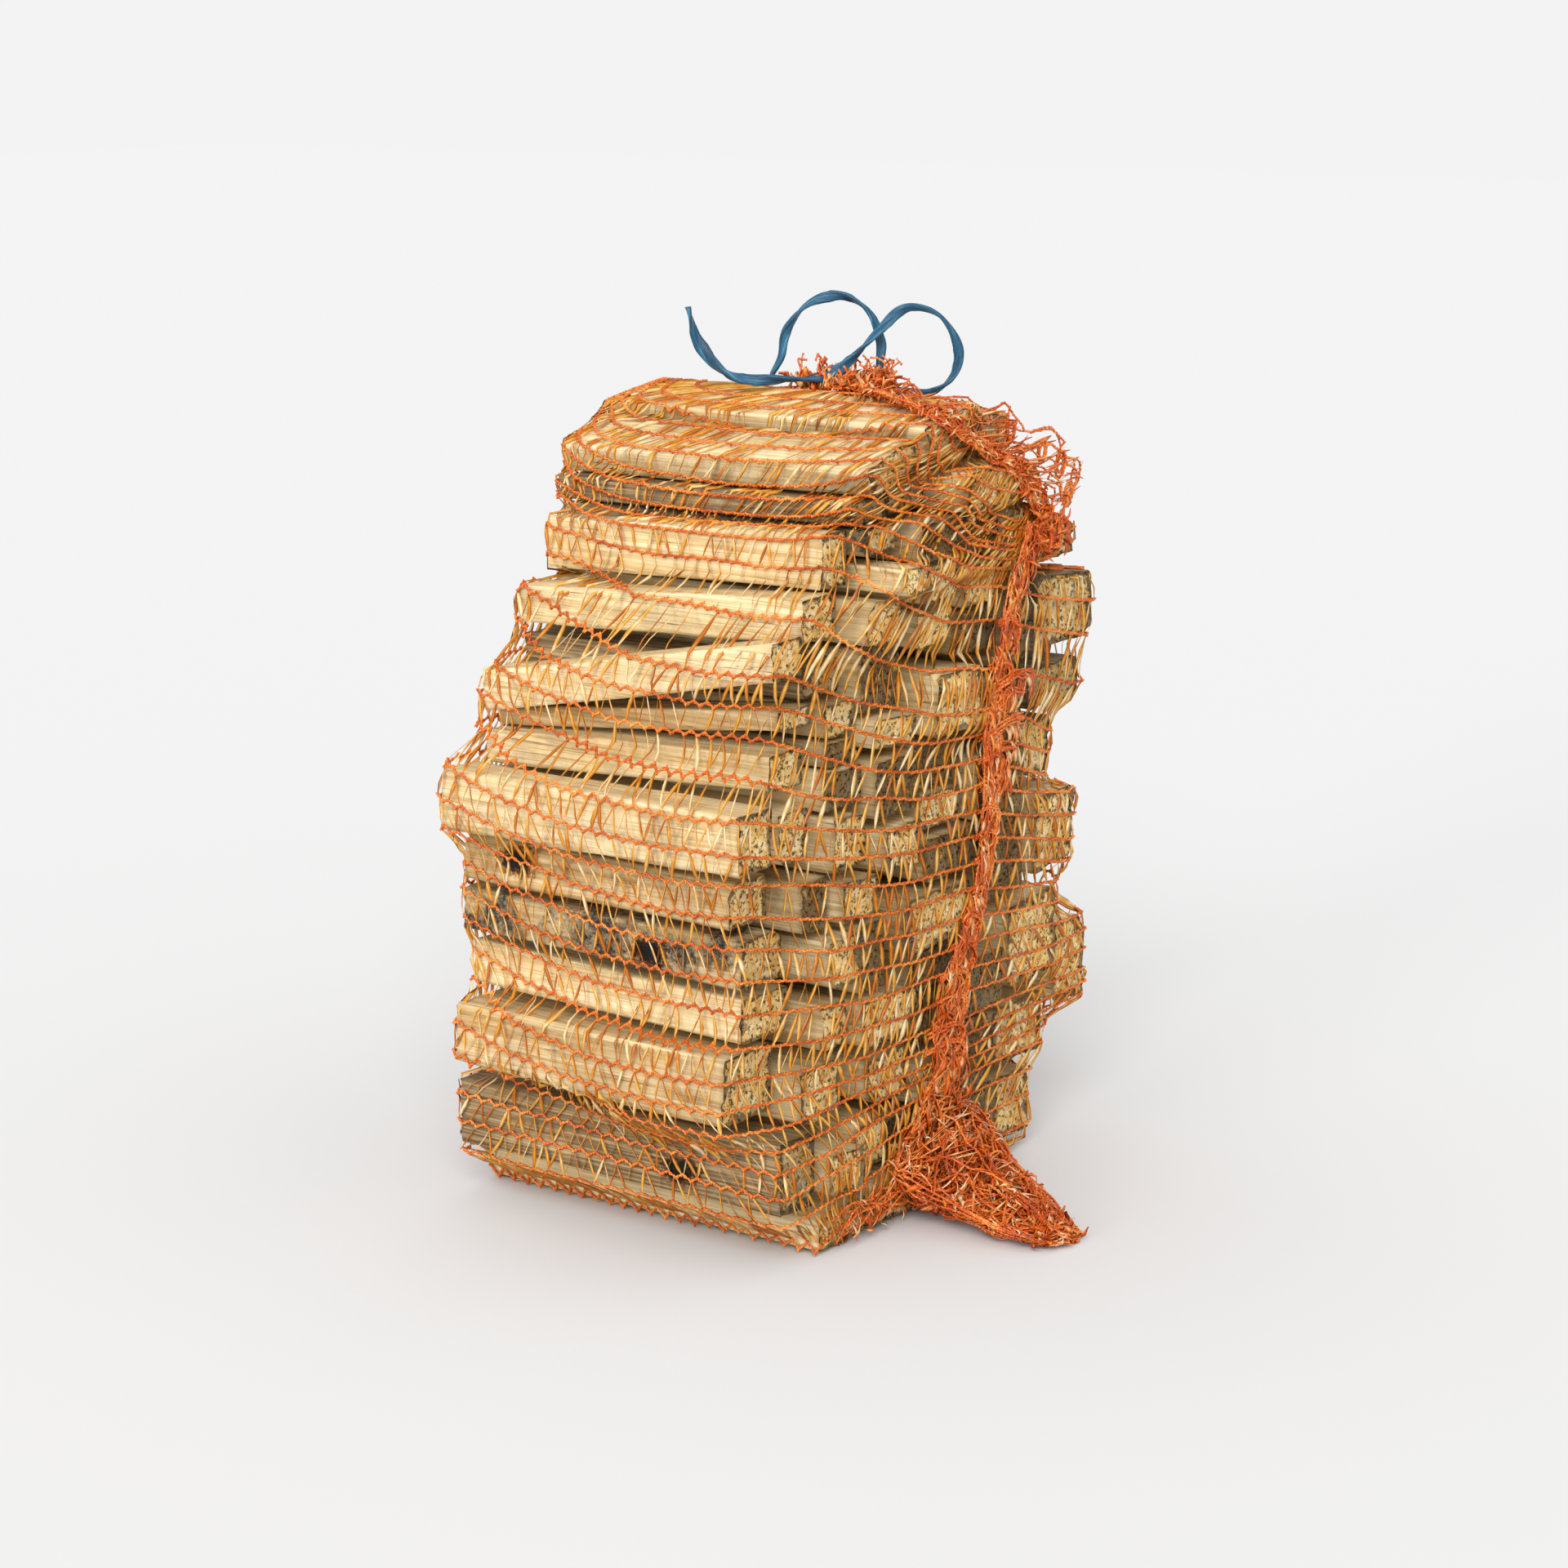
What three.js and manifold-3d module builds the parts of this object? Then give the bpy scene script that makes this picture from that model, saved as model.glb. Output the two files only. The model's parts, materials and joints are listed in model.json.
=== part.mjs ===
// Firewood bundle: split kindling stacked in a knitted net bag that a tape drawstring closes.
// Millimetres, +Z up. The sticks lie along X, the long sides of the front ones face -Y.
// The bag stands on its bottom, with the middle of its base near the origin.
import * as THREE from "three";
import Module from "manifold-3d";

const wasm = await Module();
wasm.setup();

// ---- driving dimensions ----------------------------------------------------------------
const STICK_GAP = 0.5; // least clear space between two sticks
const END_SKEW = 2.5; // a saw cut leans by up to this much over a stick's width
const TAPER = 0.1; // a split stick is up to this share thinner at one end
const WANDER_FRONT = 0.06; // share of its width by which a corner of a front stick is out of square
const WANDER = 0.12; // and of any other stick
const CUT_CHANCE = 0.6; // share of the sticks with a corner split off
const CORNER_CUT = 0.34; // share of a stick's width that a split-off corner takes
const NET_CLEAR = 1.2; // the net's inside lies this far outside the wood
const NET_OUT = 2.4; // and its outside this far, which leaves a wall of 1.2 mm
const SEAM_WIDTH = 9;
const SEAM_DEPTH = 11; // how far the gathered seam stands off the cut ends
const SEAM_ROOT = 4; // how far it reaches back into the skin
const SEAM_LIP = 3;
const COURSE_HEIGHTS = [0, 45, 92, 142, 192, 236, 284, 328, 372, 416, 446, 520];
const COURSE_LAP = 6; // a stick that comes this near a course pulls the net over that course too
const MOUTH_RADIUS = 13;
const MOUTH_CENTRE = [12, 92];
const MOUTH_FROM = 490;
const MOUTH_DEPTH = 80;
const TAPE_DIAMETER = 6;
const TAPE_STEPS = 72;
const FLOOR_COURSE = 5; // a stick that starts below this height lies on the bag's bottom
const SPLIT_SEED = 7;

const COLOURS = {
  pale: 0xe8cf9a,
  tan: 0xc9a870,
  weathered: 0x7a6544,
  dirty: 0x94835f,
  net: 0xe0672c,
  tape: 0x2f7fa6,
};

// ---- the stack --------------------------------------------------------------------------
// One entry for each stick: y from, y to, z from, z to, x from, x to, and where it isn't level
// its roll about X in degrees and its rise from the left end to the right one.
// wood is its colour when it isn't the plain pale split face.
const FRONT = [
  { box: [-113, -58, 2.4, 27, -131, 131] },
  { box: [-149, -111, 31, 82, -128, 128], rise: 3, wood: "weathered" },
  { box: [-179, -122, 95, 141, -104, 105], rise: -3, wood: "tan" },
  { box: [-158, -108, 144, 175, -106, 105], rise: -6 },
  { box: [-164, -117, 179, 212, -109, 109], rise: -4, wood: "dirty" },
  { box: [-168, -126, 216, 247, -103, 103], rise: -3, wood: "tan" },
  { box: [-174, -134, 249, 290, -114, 114] },
  { box: [-137, -94, 290, 316, -108, 109], rise: 8 },
  { box: [-124, -86, 314, 334, -108, 109], rise: 22, wood: "tan" },
  { box: [-137, -97, 335, 369, -110, 111], rise: 41 },
  { box: [-94, -52, 343, 366, -112, 105], wood: "weathered" },
  { box: [-102, -62, 374, 404, -110, 110], rise: 10 },
  { box: [-75, -49, 405, 443, -107, 107], rise: 6 },
  { box: [-57, -14, 446, 463, -113, 114], wood: "weathered" },
  { box: [-42, 15, 466, 489, -118, 118], roll: 17 },
];
const SECOND = [
  { box: [-55, -4, 2.4, 32, -120, 134] },
  { box: [-108, -70, 35, 66, -118, 138] },
  { box: [-67, -24, 36, 75, -125, 126] },
  { box: [-119, -68, 79, 121, -118, 120] },
  { box: [-105, -74, 125, 160, -112, 128], wood: "tan" },
  { box: [-104, -66, 164, 200, -116, 131] },
  { box: [-132, -94, 242, 286, -110, 112] },
  { box: [-91, -50, 236, 274, -120, 126] },
  { box: [-84, -46, 318, 341, -110, 114], wood: "tan" },
  { box: [-59, -14, 371, 402, -114, 129] },
  { box: [-47, -8, 404, 423, -96, 147] },
  { box: [-47, -6, 426, 446, -112, 119], wood: "dirty" },
  { box: [-12, 41, 445, 468, -106, 108], wood: "weathered" },
];
const THIRD = [
  { box: [-2, 49, 2.4, 29, -128, 124] },
  { box: [-62, -8, 78, 117, -122, 131] },
  { box: [-69, -6, 120, 154, -116, 134] },
  { box: [-83, -40, 203, 233, -118, 128] },
  { box: [-48, 3, 226, 262, -122, 133] },
  { box: [-48, 8, 303, 328, -114, 126] },
  { box: [-10, 43, 363, 388, -120, 130] },
  { box: [-5, 46, 390, 417, -116, 134] },
  { box: [20, 82, 478, 508, -130, 120], roll: 8 },
];
const FOURTH = [
  { box: [51, 98, 2.4, 31, -118, 121] },
  { box: [-4, 51, 63, 101, -124, 133] },
  { box: [-36, 70, 170, 211, -122, 136], wood: "tan" },
  { box: [4, 60, 243, 270, -118, 126] },
  { box: [2, 72, 304, 350, -120, 137] },
  { box: [47, 96, 381, 411, -116, 130] },
  { box: [43, 120, 443, 473, -124, 134] },
  { box: [85, 136, 472, 502, -134, 112], roll: -14 },
];
const FAR = [
  { box: [101, 150, 8, 62, -116, 126], wood: "tan" },
  { box: [88, 160, 66, 111, -122, 130], wood: "tan" },
  { box: [102, 172, 118, 182, -118, 134] },
  { box: [175, 221, 86, 154, -112, 127] },
  { box: [132, 194, 188, 250, -120, 132] },
  { box: [122, 174, 254, 299, -116, 124], wood: "tan" },
  { box: [130, 205, 301, 334, -122, 128], wood: "weathered" },
  { box: [130, 213, 337, 395, -110, 131], wood: "dirty" },
  { box: [155, 203, 398, 421, -114, 122], wood: "tan" },
  { box: [101, 152, 399, 441, -120, 128] },
  { box: [124, 165, 444, 462, -118, 116] },
  { box: [76, 129, 287, 334, -118, 130], wood: "tan" },
];
const STICKS = [...FRONT, ...SECOND, ...THIRD, ...FOURTH, ...FAR];

// ---- small helpers ----------------------------------------------------------------------
function randomFrom(seed) {
  let state = seed;
  return () => {
    state = (state * 1664525 + 1013904223) % 4294967296;
    return state / 4294967296;
  };
}

function materialOf(name, roughness) {
  return new THREE.MeshStandardMaterial({ color: COLOURS[name], roughness, metalness: 0 });
}

function pointsOf(solid) {
  const mesh = solid.getMesh();
  const points = [];
  for (let i = 0; i < mesh.vertProperties.length; i += mesh.numProp) {
    points.push([...mesh.vertProperties.slice(i, i + 3)]);
  }
  return points;
}

// The outward unit normal and the offset of every face, each plane once.
function planesOf(solid) {
  const mesh = solid.getMesh();
  const planes = [];
  const points = pointsOf(solid).map((p) => new THREE.Vector3(...p));
  for (let i = 0; i < mesh.triVerts.length; i += 3) {
    const [a, b, c] = [0, 1, 2].map((k) => points[mesh.triVerts[i + k]]);
    const normal = new THREE.Vector3().crossVectors(b.clone().sub(a), c.clone().sub(a));
    if (normal.length() < 1e-6) continue;
    normal.normalize();
    const offset = normal.dot(a);
    const known = planes.some((p) => p.normal.dot(normal) > 0.9999 && Math.abs(p.offset - offset) < 0.01);
    if (!known) planes.push({ normal, offset });
  }
  return planes;
}

function toMesh(solid, name, material) {
  const data = solid.getMesh();
  const geometry = new THREE.BufferGeometry();
  const places = new Float32Array(data.vertProperties.length);
  places.set(data.vertProperties);
  geometry.setAttribute("position", new THREE.BufferAttribute(places, 3));
  geometry.setIndex(new THREE.BufferAttribute(new Uint32Array(data.triVerts), 1));
  const mesh = new THREE.Mesh(geometry, material);
  mesh.name = name;
  return mesh;
}

// ---- one split stick --------------------------------------------------------------------
// A prism along X. Its corners wander a little, one end is thinner, and most sticks have a
// corner split off, as wood cleft by a wedge has. A stick on the floor keeps a level bottom.
function splitStick({ box, roll = 0, rise = 0 }, wander, random) {
  const [y0, y1, z0, z1, x0, x1] = box;
  const wide = y1 - y0;
  const high = z1 - z0;
  const centre = new THREE.Vector2((y0 + y1) / 2, (z0 + z1) / 2);
  const inset = () => 0.5 - wander * random();
  const outline = [[-1, -1], [1, -1], [1, 1], [-1, 1]];
  const corners = outline.map(([a, b]) => [a * inset(), b * inset()]);
  const keepBottom = z0 < FLOOR_COURSE;
  const cut = random() < CUT_CHANCE ? Math.floor(random() * 4) : -1;
  const section = [];
  corners.forEach(([a, b], i) => {
    const bottom = keepBottom && outline[i][1] < 0;
    const v = bottom ? -0.5 : b;
    if (i === cut && !bottom) {
      const share = CORNER_CUT * (0.5 + random());
      section.push([a * (1 - share), v], [a, v * (1 - share)]);
    } else {
      section.push([a, v]);
    }
  });
  const thin = 1 - TAPER * random();
  const thinEnd = random() < 0.5 ? -1 : 1;
  const turn = new THREE.Matrix4().makeRotationX(THREE.MathUtils.degToRad(roll));
  const points = [];
  for (const end of [-1, 1]) {
    const size = end === thinEnd ? thin : 1;
    const skew = (2 * random() - 1) * END_SKEW;
    for (const [a, b] of section) {
      const p = new THREE.Vector3(0, a * wide * size, b * high * (keepBottom ? 1 : size));
      p.applyMatrix4(turn);
      const x = (end < 0 ? x0 : x1) + skew * a;
      points.push([x, centre.x + p.y, centre.y + p.z + (end * rise) / 2]);
    }
  }
  return wasm.Manifold.hull(points);
}

// Where two sticks meet, both are trimmed to one plane between them, so they never overlap.
function trimApart(sticks) {
  for (let i = 0; i < sticks.length; i += 1) {
    for (let j = i + 1; j < sticks.length; j += 1) {
      let best = null;
      for (const [first, other] of [[i, j], [j, i]]) {
        const points = pointsOf(sticks[other]);
        for (const { normal, offset } of planesOf(sticks[first])) {
          const nearest = Math.min(...points.map((p) => normal.dot(new THREE.Vector3(...p))));
          const depth = offset - nearest;
          if (best === null || depth < best.depth) best = { first, other, normal, offset, depth };
        }
      }
      if (best.depth < -STICK_GAP) continue;
      const shared = best.offset - best.depth / 2;
      const n = [best.normal.x, best.normal.y, best.normal.z];
      const back = n.map((v) => -v);
      sticks[best.first] = sticks[best.first].trimByPlane(back, -(shared - STICK_GAP / 2));
      sticks[best.other] = sticks[best.other].trimByPlane(n, shared + STICK_GAP / 2);
    }
  }
  return sticks;
}

// ---- the net bag ------------------------------------------------------------------------
// Every point of a stick grown to a small cube: the hull of them is the wood plus a margin.
function grown(points, margin) {
  const cube = [];
  for (let i = 0; i < 8; i += 1) cube.push([i & 1, i & 2, i & 4].map((bit) => (bit ? margin : -margin)));
  return points.flatMap(([x, y, z]) => cube.map(([dx, dy, dz]) => [x + dx, y + dy, z + dz]));
}

// The net is pulled tight over each course, so its skin is the union of hulls that each
// cover the sticks between two heights.
function skin(sticks, margin) {
  const boxes = sticks.map((s) => s.boundingBox());
  let union = null;
  for (let k = 0; k + 1 < COURSE_HEIGHTS.length; k += 1) {
    const low = COURSE_HEIGHTS[k] - COURSE_LAP;
    const high = COURSE_HEIGHTS[k + 1] + COURSE_LAP;
    const points = [];
    sticks.forEach((stick, i) => {
      if (boxes[i].max[2] < low || boxes[i].min[2] > high) return;
      points.push(...pointsOf(stick));
    });
    const hull = wasm.Manifold.hull(grown(points, margin));
    union = union ? union.add(hull) : hull;
  }
  return union;
}

// The side seam is gathered to a ridge that runs down the cut ends.
const SEAM = [
  [136, 128, 436], [138, 99, 401], [138, 86, 330], [138, 66, 247],
  [137, 72, 200], [137, 46, 158], [136, 18, 112], [134, 6, 66], [132, -8, 34],
];

function seamSection([x, y, z]) {
  const corners = [];
  for (const side of [-SEAM_WIDTH, SEAM_WIDTH]) {
    for (const up of [-SEAM_LIP, SEAM_LIP]) {
      corners.push([x - SEAM_ROOT, y + side, z + up], [x + SEAM_DEPTH, y + side / 2, z + up]);
    }
  }
  return corners;
}

function seamRidge() {
  let ridge = null;
  for (let i = 0; i + 1 < SEAM.length; i += 1) {
    const link = wasm.Manifold.hull([...seamSection(SEAM[i]), ...seamSection(SEAM[i + 1])]);
    ridge = ridge ? ridge.add(link) : link;
  }
  return ridge;
}

// The bag's bottom corner is bunched and lies out on the floor as a tail.
function bunchedTail() {
  const root = [
    [126, -40, 4], [128, -34, 46], [130, 40, 62], [128, 78, 42], [126, 84, 4], [140, -38, 4], [146, 20, 58],
  ];
  const middle = [[176, -38, 1], [172, -30, 24], [170, 20, 46], [168, 52, 30], [172, 56, 1]];
  const tip = [[236, -14, 1], [234, -8, 9], [236, 12, 12], [240, 18, 1], [250, 6, 1], [250, 8, 5]];
  return wasm.Manifold.hull([...root, ...middle]).add(wasm.Manifold.hull([...middle, ...tip]));
}

function netBag(sticks) {
  const inside = skin(sticks, NET_CLEAR);
  const outside = skin(sticks, NET_OUT).add(seamRidge()).add(bunchedTail());
  const mouth = wasm.Manifold.cylinder(MOUTH_DEPTH, MOUTH_RADIUS, MOUTH_RADIUS, 12);
  return outside.subtract(inside).subtract(mouth.translate([...MOUTH_CENTRE, MOUTH_FROM]));
}

// ---- the drawstring ---------------------------------------------------------------------
// From the knotted end along the top, up round the right loop, and back round the left one.
const TAPE_ROUTE = [
  [-74, 35, 564], [-70, 38, 545], [-62, 43, 530], [-50, 49, 520], [-36, 56, 517], [-18, 64, 518],
  [-2, 75, 518.5], [8, 84, 522], [19, 91, 533], [34, 100, 551], [47, 110, 564], [62, 125, 559],
  [72, 133, 538], [68, 133, 519], [55, 127, 508.5], [42, 119, 508], [33, 112, 512], [28, 108, 523],
  [28, 108, 541], [22, 103, 561], [8, 93, 571], [-10, 81, 566], [-22, 73, 549], [-26, 72, 531], [-33, 71, 519],
];

function drawstring() {
  const route = new THREE.CatmullRomCurve3(TAPE_ROUTE.map((p) => new THREE.Vector3(...p)), false, "centripetal");
  const round = new THREE.Shape();
  round.absarc(0, 0, TAPE_DIAMETER / 2, 0, 2 * Math.PI, false);
  const settings = { steps: TAPE_STEPS, curveSegments: 4, bevelEnabled: false, extrudePath: route };
  const mesh = new THREE.Mesh(new THREE.ExtrudeGeometry(round, settings), materialOf("tape", 0.4));
  mesh.name = "drawstring";
  return mesh;
}

// ---- assembly ---------------------------------------------------------------------------
const bundle = new THREE.Group();
const random = randomFrom(SPLIT_SEED);
const wanderOf = (i) => (i < FRONT.length ? WANDER_FRONT : WANDER);
const sticks = trimApart(STICKS.map((stick, i) => splitStick(stick, wanderOf(i), random)));
sticks.forEach((stick, i) => {
  const name = `stick_${String(i + 1).padStart(2, "0")}`;
  bundle.add(toMesh(stick, name, materialOf(STICKS[i].wood ?? "pale", 0.85)));
});
bundle.add(toMesh(netBag(sticks), "net_bag", materialOf("net", 0.55)));
bundle.add(drawstring());

export default bundle;
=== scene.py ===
# %% [markdown]
# # A bundle of split kindling in a knitted net bag
#
# Dry wood for a stove is cleft into sticks, sawn to one length, stacked in a machine and pushed
# into a tube of orange net. The CAD frame already holds every stick of the outside as a plain
# convex solid, the net as one skin and the tie as a round tube. This notebook builds what the
# eye sees in their place: torn wood, sawn ends, knitted yarn, bunched net and crumpled tape.
# It works in metres, in the frame's own axes: sticks along X, their cut ends and the bag's seam
# on +X, the long front sides on -Y.

# %% Load the frame
import json
import math

import bpy
import numpy as np
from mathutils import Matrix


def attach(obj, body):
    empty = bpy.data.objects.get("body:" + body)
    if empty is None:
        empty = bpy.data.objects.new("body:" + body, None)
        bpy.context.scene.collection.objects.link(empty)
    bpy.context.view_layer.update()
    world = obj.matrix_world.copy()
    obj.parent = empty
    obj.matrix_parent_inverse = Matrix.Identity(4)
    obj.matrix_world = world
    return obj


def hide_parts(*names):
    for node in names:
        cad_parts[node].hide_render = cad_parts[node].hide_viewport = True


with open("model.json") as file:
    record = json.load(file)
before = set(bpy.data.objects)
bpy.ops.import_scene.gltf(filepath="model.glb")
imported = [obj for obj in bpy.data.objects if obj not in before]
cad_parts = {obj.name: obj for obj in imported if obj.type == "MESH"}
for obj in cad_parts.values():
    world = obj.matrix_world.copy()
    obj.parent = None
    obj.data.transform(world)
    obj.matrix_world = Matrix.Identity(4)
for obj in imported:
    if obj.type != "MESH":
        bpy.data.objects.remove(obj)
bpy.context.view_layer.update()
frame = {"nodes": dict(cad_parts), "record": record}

MM = 0.001
RANDOM = np.random.default_rng(41)
STICK_NODES = sorted(name for name in frame["nodes"] if name.startswith("stick_"))

# %% [markdown]
# Every surface here is uneven in its own way, so the script needs one source of smooth random
# numbers. A lattice noise does that: random values on the corners of a grid, blended between
# them. It runs on whole arrays at once, which keeps thousands of points quick, and it is fixed
# by its seed, so each run gives the same wood.

# %% Smooth noise on arrays of points
def lattice_noise(points, seed=0):
    """Noise from -1 to 1 at each point, with features about one unit long."""
    points = np.asarray(points, dtype=float)
    cell = np.floor(points).astype(np.int64)
    part = points - cell
    part = part * part * (3 - 2 * part)
    total = np.zeros(points.shape[:-1])
    for corner in np.ndindex(2, 2, 2):
        spot = cell + np.array(corner)
        code = spot[..., 0] * 73856093 ^ spot[..., 1] * 19349663 ^ spot[..., 2] * 83492791
        code = code ^ (seed * 2654435761)
        code = (code ^ (code >> 13)) * 1274126177 & 0xFFFFFFFF
        code = (code ^ (code >> 16)) * 2246822519 & 0xFFFFFFFF
        value = ((code >> 8) & 0xFFFF) / 32767.5 - 1
        weight = np.prod(np.where(np.array(corner) == 1, part, 1 - part), axis=-1)
        total += value * weight
    return total


def new_object(name, data):
    item = bpy.data.objects.new(name, data)
    bpy.context.scene.collection.objects.link(item)
    return item


def mesh_object(name, points, faces, edges=()):
    """A smooth mesh at the origin, with its place in its vertices."""
    mesh = bpy.data.meshes.new(name)
    mesh.from_pydata(np.asarray(points).tolist(), list(edges), faces)
    mesh.polygons.foreach_set("use_smooth", [True] * len(mesh.polygons))
    mesh.update()
    return new_object(name, mesh)


def eased(points, times=2):
    """Evens out a row of points, and leaves its two ends where they are."""
    points = points.copy()
    for _ in range(times):
        points[1:-1] = 0.25 * points[:-2] + 0.5 * points[1:-1] + 0.25 * points[2:]
    return points


def set_attribute(item, name, values, kind="FLOAT"):
    field = "vector" if kind == "FLOAT_VECTOR" else "value"
    layer = item.data.attributes.new(name, kind, "POINT")
    number_type = np.int32 if kind == "INT" else np.float32
    layer.data.foreach_set(field, np.asarray(values, dtype=number_type).ravel())


print("noise sample:", np.round(lattice_noise([[0.5, 0.2, 0.1], [3.3, 1.2, 9.9]]), 3))

# %% [markdown]
# A stick in the frame is convex, so it is fully described by the planes of its faces. Keeping
# it as planes has two uses. A ray from inside the stick leaves it at the nearest plane ahead,
# which lets a regular grid be thrown on its skin, and later the net can be pulled tight over
# the whole stack by asking where rays leave the outermost stick.

# %% Read each stick of the frame as a set of planes
SAME_DIRECTION = 0.9995
SAME_PLACE = 0.05 * MM


def planes_of(node):
    """The outward normals, the offsets and the corners of a convex frame node."""
    mesh = node.data
    corners = np.empty(len(mesh.vertices) * 3)
    mesh.vertices.foreach_get("co", corners)
    corners = corners.reshape(-1, 3)
    found = []
    for face in mesh.polygons:
        if face.area < 1e-8:
            continue
        normal = np.array(face.normal)
        offset = normal @ np.array(face.center)
        if not any(n @ normal > SAME_DIRECTION and abs(d - offset) < SAME_PLACE for n, d in found):
            found.append((normal, offset))
    return np.array([n for n, _ in found]), np.array([d for _, d in found]), corners


def stick_from(name, normals, offsets, corners):
    """A stick as planes, with the line through the middles of its two cut ends."""
    middle = corners[:, 0].mean()
    left = corners[corners[:, 0] < middle].mean(axis=0)
    right = corners[corners[:, 0] >= middle].mean(axis=0)
    return {"name": name, "normals": normals, "offsets": offsets, "left": left, "right": right}


sticks = [stick_from(name, *planes_of(frame["nodes"][name])) for name in STICK_NODES]
print("planes per stick:", [len(s["offsets"]) for s in sticks])

# %% [markdown]
# The last small sticks lie inside the stack, where only their cut ends show. They have no solid
# in the frame, so they are made here. Each starts as a box in a gap of the stack. Every stick
# near it then cuts the box back along whichever of its own faces parts the two best, as a
# stick pushed into a gap touches its neighbours on a few flats.

# %% Fit the inner sticks into the gaps
FIT_GAP = 0.5 * MM
CORE_SHARE = 0.45  # the middle of the box, which a parting plane has to miss

# y from, y to, z from, z to, x from, x to, all in millimetres
INNER_BOXES = [
    (-21, 31, 34, 62, -118, 121), (33, 99, 33, 63, -112, 126), (54, 87, 64, 111, -118, 130),
    (-4, 51, 103, 140, -120, 124), (52, 100, 113, 152, -116, 133), (-3, 51, 142, 169, -118, 127),
    (-64, -36, 156, 201, -114, 129), (-113, -85, 203, 240, -116, 119), (4, 73, 213, 242, -120, 132),
    (73, 131, 184, 238, -122, 128), (62, 121, 239, 286, -118, 134), (-92, -49, 276, 301, -114, 120),
    (-49, 2, 264, 301, -118, 130), (2, 61, 272, 302, -120, 123), (-84, -48, 301, 317, -112, 116),
    (-47, -1, 329, 370, -116, 117), (46, 96, 352, 380, -118, 126), (95, 129, 337, 397, -120, 129),
    (-1, 45, 418, 443, -114, 131), (46, 100, 412, 442, -116, 125),
]


def box_planes(box):
    y0, y1, z0, z1, x0, x1 = (v * MM for v in box)
    normals = np.array([[-1, 0, 0], [1, 0, 0], [0, -1, 0], [0, 1, 0], [0, 0, -1], [0, 0, 1]], float)
    return normals, np.array([-x0, x1, -y0, y1, -z0, z1])


def inner_stick(box, others):
    normals, offsets = box_planes(box)
    y0, y1, z0, z1, x0, x1 = (v * MM for v in box)
    middle = np.array([(x0 + x1) / 2, (y0 + y1) / 2, (z0 + z1) / 2])
    half = np.array([(x1 - x0) / 2, (y1 - y0) / 2, (z1 - z0) / 2])
    signs = np.array(list(np.ndindex(2, 2, 2))) * 2 - 1
    core = middle + signs * half * np.array([1, CORE_SHARE, CORE_SHARE])
    for other in others:
        side = np.abs(other["normals"][:, 0]) < 0.5
        face_normals, face_offsets = other["normals"][side], other["offsets"][side]
        clear = (core @ face_normals.T - face_offsets).min(axis=0)
        best = int(np.argmax(clear))
        normals = np.vstack([normals, -face_normals[best]])
        offsets = np.append(offsets, -(face_offsets[best] + FIT_GAP))
    left = middle * np.array([0, 1, 1]) + np.array([x0, 0, 0])
    right = middle * np.array([0, 1, 1]) + np.array([x1, 0, 0])
    return {"normals": normals, "offsets": offsets, "left": left, "right": right}


inner_sticks = []
for box in INNER_BOXES:
    inner_sticks.append(inner_stick(box, sticks + inner_sticks))
print("inner sticks:", len(inner_sticks))

# %% [markdown]
# ## Split wood
#
# A wedge tears the wood along its fibres, so a split face is a field of fine ridges that run
# the whole length of the stick, with a few coarser steps where the tear jumped from one ring to
# the next. A sawn end is rough and crumbly, and its rim is frayed. A grid thrown on the skin of
# the convex stick carries both: its columns follow the fibres, and it is pressed inwards only,
# so that it stays in the room that the frame gives the stick.

# %% Throw a grid on a stick and tear it
AROUND = 56  # columns round a stick
ALONG = 30  # stations from end to end
CAP_RINGS = [0.9, 0.74, 0.55, 0.36, 0.18]
GRIT, LUMP = 2.2 * MM, 11 * MM  # sizes of the crumbs and the humps of a sawn end
RIDGE_DEPTH = 0.55 * MM
STEP_DEPTH = 1.5 * MM
WAVE_DEPTH = 1.1 * MM
END_ROUGH = 1.1 * MM
FRAY = 2.2 * MM


def leave(stick, origins, directions, along_x):
    """How far a ray from inside runs before it leaves the stick through its sides or its ends."""
    ends = np.abs(stick["normals"][:, 0]) > 0.7
    chosen = ends if along_x else ~ends
    normals, offsets = stick["normals"][chosen], stick["offsets"][chosen]
    speed = directions @ normals.T
    room = offsets - origins @ normals.T
    with np.errstate(divide="ignore", invalid="ignore"):
        reach = np.where(speed > 1e-6, room / speed, np.inf)
    return np.maximum(reach.min(axis=-1), 0.4 * MM)


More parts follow.
